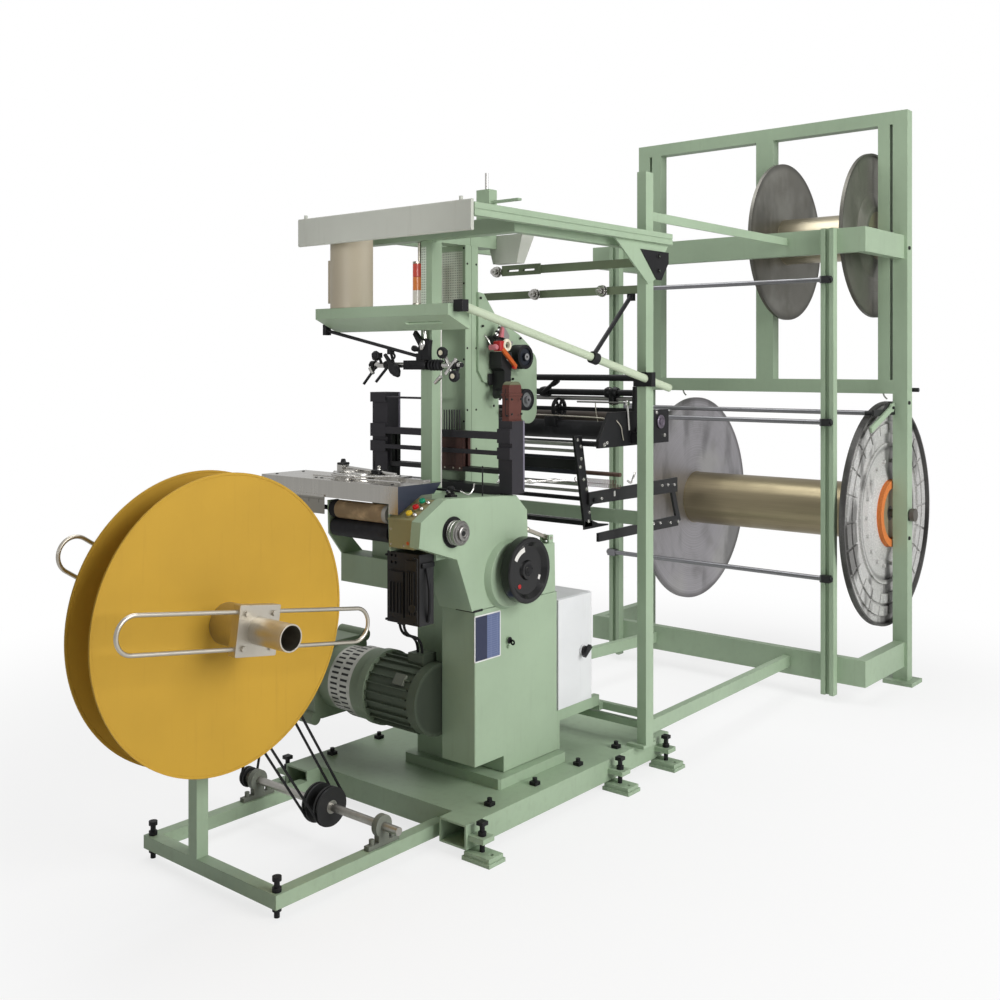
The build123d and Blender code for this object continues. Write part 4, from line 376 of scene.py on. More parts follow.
def fit(name, body, finish, *grids):
    """Makes one piece of grids of points, rows by columns, and lets it ride on its body.

    Each row closes up into a ring of four-sided faces, and a grid may hold many copies of a form.
    Doubled points are merged, and the faces are turned outwards.
    """
    slot, material = finish
    points, faces, count = [], [], 0
    for grid in grids:
        copies = grid.reshape(-1, *grid.shape[-3:])
        index = count + np.arange(copies[..., 0].size).reshape(copies.shape[:3])
        beside = np.roll(index, -1, axis=2)
        quads = np.stack([index[:, :-1], beside[:, :-1], beside[:, 1:], index[:, 1:]], axis=-1)
        points.append(copies.reshape(-1, 3))
        faces.append(quads.reshape(-1, 4))
        count += index.size
    points = np.concatenate(points)
    faces = np.concatenate(faces)
    mesh = bpy.data.meshes.new(name)
    mesh.vertices.add(len(points))
    mesh.vertices.foreach_set("co", points.ravel())
    mesh.loops.add(faces.size)
    mesh.loops.foreach_set("vertex_index", faces.ravel())
    mesh.polygons.add(len(faces))
    mesh.polygons.foreach_set("loop_start", np.arange(0, faces.size, 4))
    mesh.polygons.foreach_set("loop_total", np.full(len(faces), 4))
    mesh.update(calc_edges=True)
    mesh.validate()
    shell = bmesh.new()
    shell.from_mesh(mesh)
    bmesh.ops.remove_doubles(shell, verts=shell.verts, dist=0.00001)
    bmesh.ops.recalc_face_normals(shell, faces=shell.faces)
    shell.to_mesh(mesh)
    shell.free()
    mesh.polygons.foreach_set("use_smooth", np.ones(len(mesh.polygons), bool))
    mesh.set_sharp_from_angle(angle=math.radians(38))
    mesh.materials.append(material)
    piece = bpy.data.objects.new(name, mesh)
    bpy.context.scene.collection.objects.link(piece)
    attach(piece, body)


# Cables from the cam box to the motor's terminal box, each by the X of its two ends
cable_ends = ((0.118, 0.046), (0.136, 0.066))
cable_black = rubber("cable_rubber")
for number, (start, end) in enumerate(cable_ends):
    route = [(start, -0.54, 0.68), (start, -0.54, 0.636), (end, -0.382, 0.586), (end, -0.382, 0.536)]
    line = bpy.data.curves.new("motor_cable_%d" % number, "CURVE")
    line.dimensions = "3D"
    line.bevel_depth = 0.0045
    line.bevel_resolution = 3
    line.resolution_u = 16
    line.use_fill_caps = True
    spline = line.splines.new("NURBS")
    spline.points.add(len(route) - 1)
    spline.points.foreach_set("co", np.insert(np.array(route), 3, 1.0, axis=1).ravel())
    spline.order_u = 3
    spline.use_endpoint_u = True
    line.materials.append(cable_black)
    cable = bpy.data.objects.new("motor_cable_%d" % number, line)
    bpy.context.scene.collection.objects.link(cable)
    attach(cable, "frame")
    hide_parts("motor_cables")


# Patterns: each takes a finish's colour, roughness, metal and height, and gives them back changed
motor_axis = (-0.37, 0.39)


def perforated(paint, base, rough, metal, height):
    """The column: its head's front sheet painted paler as painted light, with rows of small round holes painted dark
    as shade, and a seam down its side.
    """
    high = paint.axis("Z")
    front = paint.smooth(paint.facing("Y"), -0.6, -0.9) * paint.band(high, 1.66, 1.905, 0.002)
    inside = paint.band(paint.axis("X"), -0.096, 0.012, 0.001)
    hole_shade = paint.holes(paint.axis("X"), high, 0.0086, 0.27) * front * inside
    seam = paint.band(paint.axis("Y"), -0.0865, -0.084, 0.0004) * paint.smooth(high, 1.06, 1.062)
    # Painted light: the front sheet a paler colour than the enamel
    base = paint.blend(front * inside, base, tint(214, 222, 208))
    # Painted shade: the holes dark; the seam is a dark joint
    return paint.blend(hole_shade * 0.6 + seam * 0.6, base, tint(40, 46, 38)), rough, metal, height - hole_shade * 2.0 - seam


def two_sheens(paint, base, rough, metal, height):
    """The take-up roller: black at the left end, a ribbed rubber cover, bare steel at the right end."""
    along = paint.axis("X")
    cover = paint.band(along, -0.128, 0.094, 0.0006)
    left = paint.smooth(along, -0.127, -0.129)
    grain = abs(saw(along, 0.0022) - 0.5)
    base = paint.blend(cover, tint(172, 170, 164), base)
    base = paint.blend(left, base, tint(24, 24, 25))
    return base, rough, (1 - cover) * (1 - left), height + grain * cover * 2.0


def table_face(paint, base, rough, metal, height):
    """The breast table: polished steel, a navy end face and a grey measuring strip with plain dark ticks."""
    along = paint.axis("X")
    up = paint.axis("Z")
    end = paint.smooth(along, 0.1515, 0.1525) * paint.smooth(paint.facing("X"), 0.3, 0.8)
    strip = paint.smooth(up, 1.06, 1.0594) * paint.smooth(along, -0.16, -0.17)
    front = strip * paint.smooth(paint.facing("Y"), -0.7, -0.9)
    tick = paint.band(saw(along, 0.005), 0.0, 0.22, 0.05) * paint.band(up, 1.05, 1.055, 0.0003)
    long_tick = paint.band(saw(along, 0.05), 0.0, 0.04, 0.006) * paint.band(up, 1.04, 1.055, 0.0003)
    base = paint.blend(strip, base, tint(158, 156, 148))
    base = paint.blend(paint.smooth(tick + long_tick, 0.2, 0.7) * front, base, tint(24, 24, 26))
    base = paint.blend(end, base, tint(38, 44, 60))
    return base, rough + end * 0.2 + strip * 0.2, 1 - paint.smooth(end + strip, 0.1, 0.6), height


def beam_face(middle, barrel, rim, barrel_colour, hub=0.0):
    """A warp beam: turned discs, worn at the rim, a duller barrel and a dark shaft.

    Where hub is given, the X of the cast disc's hub ring, that disc is sooty, its faces set back from the front are
    painted darker as shade, and the ring orange.
    """

    def pattern(paint, base, rough, metal, height):
        away = paint.radius(*middle)
        along = paint.axis("X")
        ring = paint.node("TexNoise", {"noise_dimensions": "1D"}, {"W": away, "Scale": 260.0, "Detail": 4.0})
        brushed = paint.smooth(ring, 0.35, 0.65)
        base = paint.blend(brushed * 0.35, base, tint(112, 112, 104))
        cloud = paint.noise(3.2, 4)
        base = paint.blend(paint.smooth(cloud, 0.5, 0.75) * 0.35, base, tint(206, 206, 198))
        stain = paint.smooth(paint.noise(5.5, 6, (1, 1, 0.35)), 0.52, 0.68)
        base = paint.blend(stain * 0.45, base, tint(78, 78, 74))
        worn = paint.smooth(away, rim - 0.035, rim - 0.004)
        base = paint.blend(worn * 0.5, base, tint(70, 68, 64))
        on_barrel = paint.smooth(away, barrel + 0.003, barrel + 0.001)
        drawn = paint.noise(1.0, 3, (3, 140, 140))
        olive = paint.blend(drawn, shade(barrel_colour, 0.82), shade(barrel_colour, 1.15))
        base = paint.blend(on_barrel, base, olive)
        shaft = paint.smooth(away, 0.036, 0.034)
        base = paint.blend(shaft, base, tint(96, 92, 86))
        if hub:
            cast = paint.smooth(along, hub - 0.024, hub - 0.02)
            grain = paint.noise(150, 4)
            pale = paint.blend(grain, tint(140, 140, 138), tint(240, 239, 236))
            soot = paint.smooth(paint.noise(7, 6, (1, 1, 0.4)), 0.5, 0.62)
            pale = paint.blend(soot * 0.7, pale, tint(62, 60, 58))
            pale = paint.blend(paint.smooth(away, rim - 0.024, rim - 0.012) * 0.85, pale, tint(48, 46, 45))
            pale = paint.blend(paint.band(away, 0.3, 0.326, 0.008) * 0.5, pale, tint(70, 68, 66))
            # Painted shade: the cast disc's faces set back from its front are darker
            low = paint.smooth(along, hub - 0.001, hub - 0.006)
            pale = paint.blend(low * 0.55, pale, tint(84, 82, 78))
            base = paint.blend(cast * (1 - on_barrel), base, pale)
            orange = paint.band(away, 0.118, 0.161, 0.001) * paint.smooth(along, hub + 0.002, hub + 0.004)
            fresh = paint.blend(grain, tint(186, 98, 40), tint(228, 138, 70))
            base = paint.blend(orange, base, fresh)
            metal = (1 - orange) * (1 - cast * 0.65)
            rough = rough + orange * 0.1 + cast * 0.16
            height = height + grain * cast * 0.8
        return base, rough - on_barrel * 0.1, metal, height + ring * 0.6

    return pattern


def clamped_rods(paint, base, rough, metal, height):
    """The creel's guide rods: drawn steel, with black clamps at their right ends."""
    along = paint.axis("X")
    front = paint.smooth(paint.axis("Y"), 1.752, 1.75)
    clamp = paint.smooth(along + front * 0.086, 0.64, 0.642)
    base = paint.blend(clamp, base, tint(18, 18, 20))
    return base, rough + clamp * 0.15, 1 - clamp, height


def pulleys(paint, base, rough, metal, height):
    """The jack shaft: bright steel with black pulleys."""
    pulley = paint.smooth(paint.radius(-0.76, 0.128), 0.02, 0.021)
    base = paint.blend(pulley, base, tint(30, 30, 31))
    return base, rough + pulley * 0.1, 1 - pulley * 0.9, height


def painted_shade_end(paint, base, rough, metal, height):
    """The motor: its end cover, facing +X, is painted dark as shade, and so are the roots of the fins, where shade
    falls between them.
    """
    end_shade = paint.smooth(paint.facing("X"), 0.2, 0.9) * 0.55
    fin_root_shade = paint.smooth(paint.radius(*motor_axis), 0.113, 0.104) * 0.5
    # Painted shade: the +X end and the fin roots darkened
    base = paint.blend(end_shade + fin_root_shade - end_shade * fin_root_shade, base, tint(30, 34, 28))
    return base, rough - end_shade * 0.1, metal, height


def slotted(paint, base, rough, metal, height):
    """The clutch's steel band with two rows of slots painted dark as shade, and its green ends."""
    along = paint.axis("X")
    ring = paint.smooth(paint.radius(*motor_axis), 0.106, 0.109)
    band = paint.band(along, -0.292, -0.172, 0.001) * ring
    rows = paint.band(along, -0.28, -0.246, 0.001) + paint.band(along, -0.222, -0.188, 0.001)
    slot = paint.band(paint.turn(*motor_axis, 38), 0.32, 0.72, 0.05) * rows * band
    metallic = paint.blend(paint.noise(60, 3), tint(150, 150, 142), tint(196, 196, 188))
    base = paint.blend(band, base, metallic)
    # Painted shade: the slots dark where the openings would lie in shade
    base = paint.blend(slot, base, tint(18, 19, 17))
    return base, rough, band * (1 - slot) * 0.8, height - slot * 3.0


def lens_rows(paint, base, rough, metal, height):
    """The signal tower's lenses, red over amber over clear, ribbed inside, with a painted highlight along the ribs.
    """
    up = paint.axis("Z")
    rib = abs(saw(up, 0.004) - 0.5)
    base = paint.blend(paint.smooth(up, 1.8049, 1.8061), tint(238, 128, 40), tint(218, 52, 40))
    base = paint.blend(paint.smooth(up, 1.7601, 1.7589), base, tint(232, 228, 220))
    # Painted highlight: a pale glint along each rib
    base = paint.blend(rib * 0.4, base, tint(250, 214, 190))
    return base, rough, metal, height + rib * 2.0


def heald_pack(paint, base, rough, metal, height):
    """A heald frame: red-brown heald pack striped upright, black rails, grey comb rods."""
    along = paint.axis("X")
    up = paint.axis("Z")
    pack = paint.band(along, -0.0715, 0.0645, 0.0004) * paint.smooth(up, 1.272, 1.2705)
    stripe = abs(saw(along, 0.0062) - 0.5)
    thin = paint.smooth(stripe, 0.3, 0.42)
    brown = paint.blend(thin, tint(84, 52, 44), tint(40, 28, 27))
    ends = paint.band(up, 1.138, 1.262, 0.001)
    brown = paint.blend(1 - ends, brown, tint(58, 44, 40))
    base = paint.blend(pack, tint(30, 30, 31), brown)
    rods = paint.smooth(up, 1.2735, 1.275)
    base = paint.blend(rods, base, tint(74, 74, 74))
    return base, rough + pack * 0.1, rods * 0.7, height - thin * pack * 2.0


def wheel_face(middle, hub, rim, colour):
    """A feeder wheel: black rubber rim round a face of its own colour, with a bright hub and a dark pin."""

    def pattern(paint, base, rough, metal, height):
        away = paint.radius(*middle)
        face = paint.smooth(away, rim + 0.0004, rim - 0.0004) * paint.smooth(paint.axis("X"), 0.055, 0.06)
        boss = paint.smooth(away, hub + 0.0004, hub - 0.0004) * face
        pin = paint.smooth(away, 0.0046, 0.004)
        base = paint.blend(face, base, colour)
        base = paint.blend(boss, base, tint(170, 170, 172))
        base = paint.blend(pin, base, tint(24, 24, 26))
        return base, rough - face * 0.2, boss * 0.8, height

    return pattern


def guide_rail(paint, base, rough, metal, height):
    """The heald guides: violet-black rails, and a red-brown cap with an olive top and a slot line."""
    along = paint.axis("X")
    up = paint.axis("Z")
    cap = paint.smooth(up, 1.3105, 1.312) * paint.smooth(along, 0.2515, 0.2525)
    top = paint.smooth(up, 1.432, 1.4345) * cap
    line = paint.band(along, 0.2655, 0.2685, 0.0004) * paint.band(up, 1.33, 1.42, 0.002)
    base = paint.blend(cap, base, tint(92, 52, 44))
    base = paint.blend(top, base, tint(104, 108, 82))
    base = paint.blend(line * cap, base, tint(20, 18, 18))
    return base, rough, metal, height - line * cap * 2.0


sage = tint(160, 180, 153)
deep_sage = tint(96, 108, 90)
finishes = {
    "green_paint": enamel("sage_enamel", sage),
    "black_steel": blackened("blackened_steel"),
    "cast_grey": enamel("bearing_grey", tint(118, 122, 112), 0.45, 0.9),
    "yellow_paint": enamel("reel_ochre", tint(198, 156, 52), 0.56, 0.1, 0.5, tint(120, 84, 30)),
    "satin_steel": steel("satin_steel", tint(190, 184, 172), 0.3),
    "belt_rubber": rubber("belt_rubber"),
    "chrome": steel("bright_chrome", tint(206, 204, 200), 0.12, 0.08, 1.0, 0.00002),
    "black_gloss": plastic("black_gloss", tint(11, 11, 12), 0.2, 0.00004, coat=0.15),
    "polished_steel": steel("polished_steel", tint(200, 197, 190), 0.14, 0.1, 1.0, 0.00003, table_face),
    "dark_rubber": rubber("roller_rubber", tint(34, 34, 36), 0.5),
    "tan_paint": enamel("tan_enamel", tint(150, 144, 104), 0.4, 0.4),
    "beige_cover": rubber("beige_cover", tint(150, 128, 98), 0.66, two_sheens),
    "green_button": plastic("button_green", tint(20, 150, 110), 0.2),
    "red_button": plastic("button_red", tint(196, 30, 34), 0.2),
    "yellow_button": plastic("button_yellow", tint(226, 190, 50), 0.2),
    "black_paint": enamel("satin_black", tint(33, 33, 34), 0.36, 0.3, 0.5, tint(66, 62, 56)),
    "white_paint": enamel("cabinet_white", tint(228, 229, 230), 0.34, 0.12, 0.2, tint(150, 148, 140)),
    "black_plastic": plastic("handle_black", tint(28, 28, 29), 0.34),
    "pale_grey_paint": enamel("fascia_grey", tint(196, 198, 188), 0.4, 0.15, 0.3),
    "brown_panel": enamel("brown_panel", tint(176, 166, 146), 0.4, 0.2, 0.3),
    "lens_plastic": plastic("lens_plastic", tint(222, 70, 30), 0.16, pattern=lens_rows),
    "olive_paint": enamel("olive_enamel", tint(112, 124, 98), 0.4, 0.5),
    "dark_violet_metal": enamel("violet_black", tint(44, 42, 47), 0.4, 0.3, 0.4, tint(80, 76, 70), guide_rail),
    "heald_brown": plastic("heald_brown", tint(74, 44, 38), 0.42, pattern=heald_pack),
    "cable_rubber": cable_black,
}
own_finish = {
    "column": enamel("column_enamel", sage, pattern=perforated),
    "motor": enamel("motor_green", shade(deep_sage, 0.8), 0.46, 0.8, pattern=painted_shade_end),
    "clutch_housing": enamel("clutch_green", tint(128, 142, 120), 0.4, 0.5, pattern=slotted),
    "upper_beam": steel(
        "upper_beam_steel", tint(136, 134, 126), 0.36, 0.3, 0.9, 0.0001,
        beam_face((2.22, 2.12), 0.113, 0.392, tint(176, 168, 146)),
    ),
    "lower_beam": steel(
        "lower_beam_steel", tint(196, 193, 198), 0.38, 0.2, 0.9, 0.0001,
        beam_face((2.22, 0.795), 0.135, 0.532, tint(156, 145, 118), 0.633),
    ),
    "jack_shaft": steel("shaft_steel", tint(176, 174, 168), 0.3, 0.3, 1.0, pattern=pulleys),
    "guide_rods": steel("guide_rod_steel", tint(134, 134, 137), 0.24, 0.2, 1.0, 0.00005, clamped_rods),
    # The slant tube: a paler copy of the sage enamel, as painted light
    "slant_tube": enamel("tube_enamel_painted_light", tint(190, 202, 176), 0.34, 0.3),
    "main_hub": steel("hub_steel", tint(150, 148, 145), 0.2, 0.4, 1.0, 0.00003),
    "tension_handwheel": blackened("handwheel_black"),
    "feeder_wheel_top": rubber(
        "wheel_rubber", tint(26, 26, 28), 0.5, wheel_face((0.14, 1.53), 0.0125, 0.033, tint(40, 44, 52)),
    ),
    "feeder_wheel_bottom": rubber(
        "low_wheel_rubber", tint(22, 22, 24), 0.5, wheel_face((0.15, 1.372), 0.015, 0.028, tint(120, 122, 122)),
    ),
}
for entry in frame["record"]["subparts"]:
    skin = nodes[entry["node"]].data.materials
    skin.clear()
    skin.append(own_finish.get(entry["node"]) or finishes[entry["material_slot"]])


def arc(centre, inner, outer, first, last, low, high, steps=16):
    """A flat piece of a ring about X: a rectangle between two radii, carried from a first to a last angle."""
    angle = np.radians(np.linspace(first, last, steps))[:, None]
    angle = np.concatenate([angle[:1], angle, angle[-1:]])
    share = np.ones(len(angle))[:, None]
    share[[0, -1]] = 0
    middle = (inner + outer) / 2
    radius = middle + (np.array([inner, outer, outer, inner]) - middle) * share
    along = np.array([low, low, high, high]) + 0 * angle
    along = np.where(share > 0, along, (low + high) / 2)
    return world("X", along, centre[0] + radius * np.cos(angle), centre[1] + radius * np.sin(angle))


def knob(start, end, radii, sides=20):
    """A turned knob: its radii one after another, evenly spaced from start to end."""
    share = np.linspace(0, 1, len(radii))[:, None]
    return tube(np.array(start) + share * (np.array(end) - np.array(start)), radii, sides)


def wire(points, count, radius, sides):
    """A bent wire: a round rod along the smooth line through its points."""
    return tube(curve(points, count), radius, sides)


def cross_rod(left, right, y, z, radius, sides):
    """A straight round rod from left to right."""
    return tube([(left, y, z), (right, y, z)], radius, sides)


def around(centre, radius, angles):
    """Places on a circle: centre + radius * (cos a, sin a) at each angle."""
    return [(centre[0] + radius * math.cos(a), centre[1] + radius * math.sin(a)) for a in angles]


def stock(slot):
    """The finish of a material slot, for a piece that shares it."""
    return slot, finishes[slot]


def plate_fields(paint, base, rough, metal, height):
    """A blank data plate: white rim, navy field on the left, blue-grey one on the right with faint rules."""
    y = paint.axis("Y")
    z = paint.axis("Z")
    inside = paint.band(y, -0.3575, -0.2335, 0.0004) * paint.band(z, 0.537, 0.6805, 0.0004)
    left = paint.smooth(y, -0.2985, -0.299)
    rule = paint.band(saw(z, 0.0072), 0.0, 0.16, 0.04) * (1 - left)
    rule = rule + paint.band(saw(y, 0.031), 0.0, 0.05, 0.01) * (1 - left)
    field = paint.blend(left, tint(92, 104, 140), tint(40, 46, 72))
    field = paint.blend(paint.smooth(rule, 0.2, 0.8) * 0.35, field, tint(150, 158, 184))
    return paint.blend(inside, base, field), rough, metal, height


# Finishes of the small pieces, each with the material slot that it goes under
chrome = stock("chrome")
satin = stock("satin_steel")
hub_steel = ("chrome", own_finish["main_hub"])
black = ("black_steel", blackened("fittings_black", tint(24, 24, 26), 0.36))
# Flat black for the seam handle, and for dark pieces painted as the shade in holes, sockets and recesses
black_and_shade = ("black_steel", plastic("black_and_painted_shade", tint(10, 11, 11), 0.6))
rod_steel = ("satin_steel", steel("rod_steel", tint(158, 156, 154), 0.34, 0.15, 0.8))
plate_grey = ("satin_steel", enamel("plate_grey", tint(112, 116, 104), 0.4, 0.6))
bearing_steel = ("satin_steel", steel("bearing_steel", tint(120, 112, 124), 0.3))
spring_brown = ("satin_steel", steel("spring_brown", tint(92, 70, 60), 0.45, 0.3, 0.2))
sleeve_brown = ("dark_rubber", steel("sleeve_brown", tint(70, 62, 56), 0.4, 0.4, 0.3))
ivory = ("lens_plastic", plastic("ivory_ring", tint(228, 220, 196), 0.3))
signal_red = ("red_button", plastic("feeder_red", tint(176, 34, 34), 0.34))
burnt_orange = ("red_button", plastic("feeder_orange", tint(196, 92, 36), 0.34))
rose = ("red_button", plastic("feeder_rose", tint(196, 116, 124), 0.35))
navy = ("black_paint", enamel("navy_enamel", tint(34, 35, 46), 0.4, 0.2, 0.4))
label_white = ("white_paint", plastic("label_white", tint(226, 224, 218), 0.4))
plate_blue = ("white_paint", plastic("data_plate", tint(222, 222, 220), 0.32, pattern=plate_fields))
edge_violet = ("dark_violet_metal", plastic("edge_violet", tint(112, 108, 122), 0.35))

# The head: a dark ring of painted shade in the hub's recess, chuck nose with a dark disc of painted shade in its
# socket, marks on the handwheel, blank data plates, seam handle, lock
hub = (-0.464, 0.97)
wheel = (-0.173, 0.818)
lock = (-0.1905, 0.578)
recess = [(0.0375, 0.2795), (0.05, 0.2795), (0.05, 0.2812), (0.0375, 0.2812), (0.0375, 0.2795)]
nose = [
    (0.0, 0.3176), (0.0345, 0.3176), (0.0345, 0.3205), (0.0325, 0.3225), (0.0285, 0.3225), (0.0275, 0.3205),
    (0.024, 0.3205), (0.0235, 0.3285), (0.0215, 0.33), (0.015, 0.33), (0.012, 0.325), (0.0, 0.325),
]
rings = [
    (0.035, 0.283), (0.04, 0.283), (0.04, 0.29), (0.0372, 0.2915), (0.0372, 0.2935),
    (0.04, 0.295), (0.04, 0.301), (0.0372, 0.3025), (0.0372, 0.3045), (0.0395, 0.306),
    (0.0395, 0.315), (0.0375, 0.317), (0.035, 0.317), (0.035, 0.283),
]
wheel_cap = [
    (0.0, 0.3555), (0.02, 0.3555), (0.02, 0.3572), (0.018, 0.3584), (0.0105, 0.3584),
    (0.01, 0.3606), (0.0, 0.3609),
]
spot = [(0.0, 0.347), (0.008, 0.347), (0.008, 0.3492), (0.0066, 0.35), (0.0, 0.3502)]
barrel = [(0.0, 0.2868), (0.0115, 0.2868), (0.0115, 0.289), (0.01, 0.2898), (0.0, 0.2898)]
key_ring = [(0.0035, -0.1916), (0.0095, -0.1916), (0.0095, -0.1894), (0.0035, -0.1894), (0.0035, -0.1916)]
# Painted shade: a dark ring where the hub sits in its recess
fit("hub_recess_shade", "frame", black_and_shade, turned("X", hub, recess, 48))
fit("hub_nose", "main_hub", hub_steel, turned("X", hub, nose, 48),
    heads("X", around(hub, 0.0305, (0.5, 2.6, 4.7)), 0.3222, 0.0024, 0.0016, 6, 0.5))
fit("hub_rings", "main_hub", hub_steel, turned("X", hub, rings, 56))
# Painted shade: a dark disc standing for the bore of the nose
fit("hub_socket_shade", "main_hub", black_and_shade,
    turned("X", hub, [(0.0, 0.3245), (0.0085, 0.3245), (0.0085, 0.3258), (0.0, 0.3258)], 24))
fit("wheel_marks", "handwheel", label_white,
    arc(wheel, 0.062, 0.078, 100, 148, 0.347, 0.3487),
    arc(wheel, 0.0665, 0.0775, -32, -20, 0.347, 0.3487, 6))
fit("wheel_spot", "handwheel", signal_red, turned("X", (-0.213, 0.768), spot, 20))
fit("wheel_bolts", "handwheel", black, turned("X", wheel, wheel_cap, 32),
    heads("X", around(wheel, 0.0165, (0.3, 2.4, 4.5)), 0.3582, 0.0026, 0.0018, 6, 0.5))
fit("data_plate", "frame", plate_blue,
    prism("X", rounded((-0.2955, 0.60875), 0.133, 0.1525, 0.003), 0.2796, 0.2812, 0.0004))
fit("plate_rivets", "frame", satin,
    heads("X", [(y, z) for y in (-0.3605, -0.2305) for z in (0.5345, 0.683)], 0.2811, 0.0014, 0.001, 10))
fit("seam_handle", "frame", black_and_shade,
    block((0.203, 0.2822), (-0.3665, -0.357), (0.6975, 0.7045), 0.0008),
    block((0.279, 0.2822), (-0.36, -0.3215), (0.6975, 0.7045), 0.0008))
fit("lock_barrel", "frame", black, turned("X", lock, barrel, 24))
fit("motor_plate", "frame", plate_grey, arc(motor_axis, 0.112, 0.1235, 134, 152, 0.02, 0.066, 8))
fit("lock_key", "frame", black,
    prism("X", rounded(lock, 0.0022, 0.011, 0.0008), 0.289, 0.299, 0.0003),
    turned("Y", (0.301, 0.573), key_ring, 20))

# The control box: button collars, three lamps beside the buttons, an orange spot and cover screws
buttons = np.array([(-0.521, 1.0635), (-0.551, 1.0475), (-0.581, 1.031)])
slope = np.array([0.0, -0.4766, 0.8791])
collar_rise = (-0.008, -0.008, 0.0005, 0.002, 0.002, -0.007)
collar_radii = [0.0, 0.013, 0.013, 0.012, 0.0104, 0.0102]
lamp_radii = [0.0082, 0.0082, 0.0076, 0.0076, 0.0066, 0.004]
orange_spot = [(0.0, -0.5995), (0.0058, -0.5995), (0.0058, -0.6022), (0.0044, -0.6032), (0.0, -0.6034)]
fit("button_collars", "frame", chrome, *[
    tube([(0.203, y, z) + slope * rise for rise in collar_rise], collar_radii, 28, False) for y, z in buttons
])
fit("control_lamps", "frame", chrome, *[
    knob((0.2255, y, z) - slope * 0.01, (0.2255, y, z) + slope * 0.007, lamp_radii) for y, z in buttons
])
fit("control_spot", "frame", burnt_orange, turned("Y", (0.214, 0.944), orange_spot, 20))
fit("control_screws", "frame", chrome,
    heads("Y", [(0.139, 0.936), (0.139, 0.984), (0.229, 0.984), (0.196, 0.935)], -0.6, 0.0034, -0.0018, 12, 0.5))

# The cam box: cover screws, four ports painted as dark discs of shade, edge strips with a hose, and gland nuts under
# it
port = [(0.0, 0.2315), (0.0058, 0.2315), (0.0058, 0.2326), (0.0, 0.2326)]
gland = [(0.005, 0.681), (0.0085, 0.681), (0.0085, 0.673), (0.007, 0.669), (0.0052, 0.669)]
hose = [(0.236, -0.54, 0.862), (0.248, -0.54, 0.8), (0.246, -0.536, 0.74), (0.234, -0.53, 0.69)]
fit("cam_box_screws", "frame", black,
    heads("Y", [(x, z) for x in (0.099, 0.222) for z in (0.69, 0.895)], -0.58, 0.0042, -0.003, 12, 0.5))
# Painted shade: dark discs for the four ports
fit("cam_box_port_shades", "frame", black_and_shade, turned("X", ([-0.52] * 4, [0.715, 0.745, 0.775, 0.805]), port, 14))
fit("cam_box_edges", "frame", black,
    block((0.23, 0.236), (-0.582, -0.576), (0.69, 0.896), 0.0012),
    block((0.23, 0.24), (-0.56, -0.505), (0.862, 0.878), 0.002),
    wire(hose, 24, 0.005, 10))
fit("cam_box_glands", "frame", black, turned("Z", ([0.118, 0.136], [-0.54, -0.54]), gland, 6))

# The breast table: screws, the ring bearing's cover, blocks and pins, and the cutter on the head
table_bolts = [(x, -0.56) for x in (-0.262, -0.234, -0.086, 0.105, -0.47)] + [(-0.47, -0.44)]
ring_dome = [
    (0.0575, 1.13), (0.072, 1.13), (0.072, 1.1338), (0.069, 1.135), (0.06, 1.135),
    (0.0575, 1.1338), (0.0575, 1.13),
]
feed_wire = [
    (-0.25, -0.47, 1.128), (-0.214, -0.535, 1.13), (-0.14, -0.556, 1.13), (-0.07, -0.52, 1.128),
    (0.03, -0.452, 1.13),
]
cutter_wire = [(0.262, -0.41, 1.094), (0.284, -0.396, 1.084), (0.29, -0.38, 1.098), (0.284, -0.366, 1.116)]
pin_feet = ((0.262, -0.3, 1.058, 1.168), (-0.3, -0.25, 1.08, 1.176), (0.01, -0.262, 1.058, 1.172))
fit("table_screws", "frame", black, heads("Z", table_bolts, 1.1168, 0.0052, 0.0022, 12, 0.5))
fit("ring_cover", "frame", chrome, turned("Z", (-0.165, -0.47), ring_dome, 56))
fit("ring_blocks", "frame", black,
    block((-0.292, -0.266), (-0.44, -0.402), (1.1505, 1.1585), 0.002),
    block((-0.108, -0.07), (-0.452, -0.412), (1.129, 1.144), 0.002),
    knob((-0.279, -0.421, 1.157), (-0.279, -0.421, 1.171), [0.01, 0.01, 0.0085, 0.0085, 0.006]))
fit("ring_pins", "frame", chrome,
    knob((-0.088, -0.432, 1.143), (-0.088, -0.432, 1.158), [0.0065, 0.0065, 0.0045, 0.006, 0.006, 0.003]),
    wire(feed_wire, 40, 0.0032, 8),
    cross_rod(-0.3, -0.06, -0.445, 1.126, 0.004, 10),
    cross_rod(-0.3, 0.12, -0.54, 1.122, 0.0028, 8))
fit("cutter_body", "frame", black,
    block((0.205, 0.238), (-0.424, -0.396), (1.058, 1.08), 0.002),
    knob((0.222, -0.41, 1.078), (0.222, -0.41, 1.108), [0.013, 0.013, 0.009, 0.009, 0.012, 0.012, 0.008]),
    cross_rod(0.15, 0.262, -0.41, 1.094, 0.0042, 10))
fit("cutter_bright", "frame", chrome,
    knob((0.222, -0.428, 1.09), (0.222, -0.392, 1.09), [0.007, 0.007, 0.0045, 0.0045, 0.007, 0.007]),
    wire(cutter_wire, 24, 0.0022, 8))
fit("thread_pins", "frame", black, *[tube([(x, y, foot), (x, y, tip)], 0.0024, 8) for x, y, foot, tip in pin_feet])

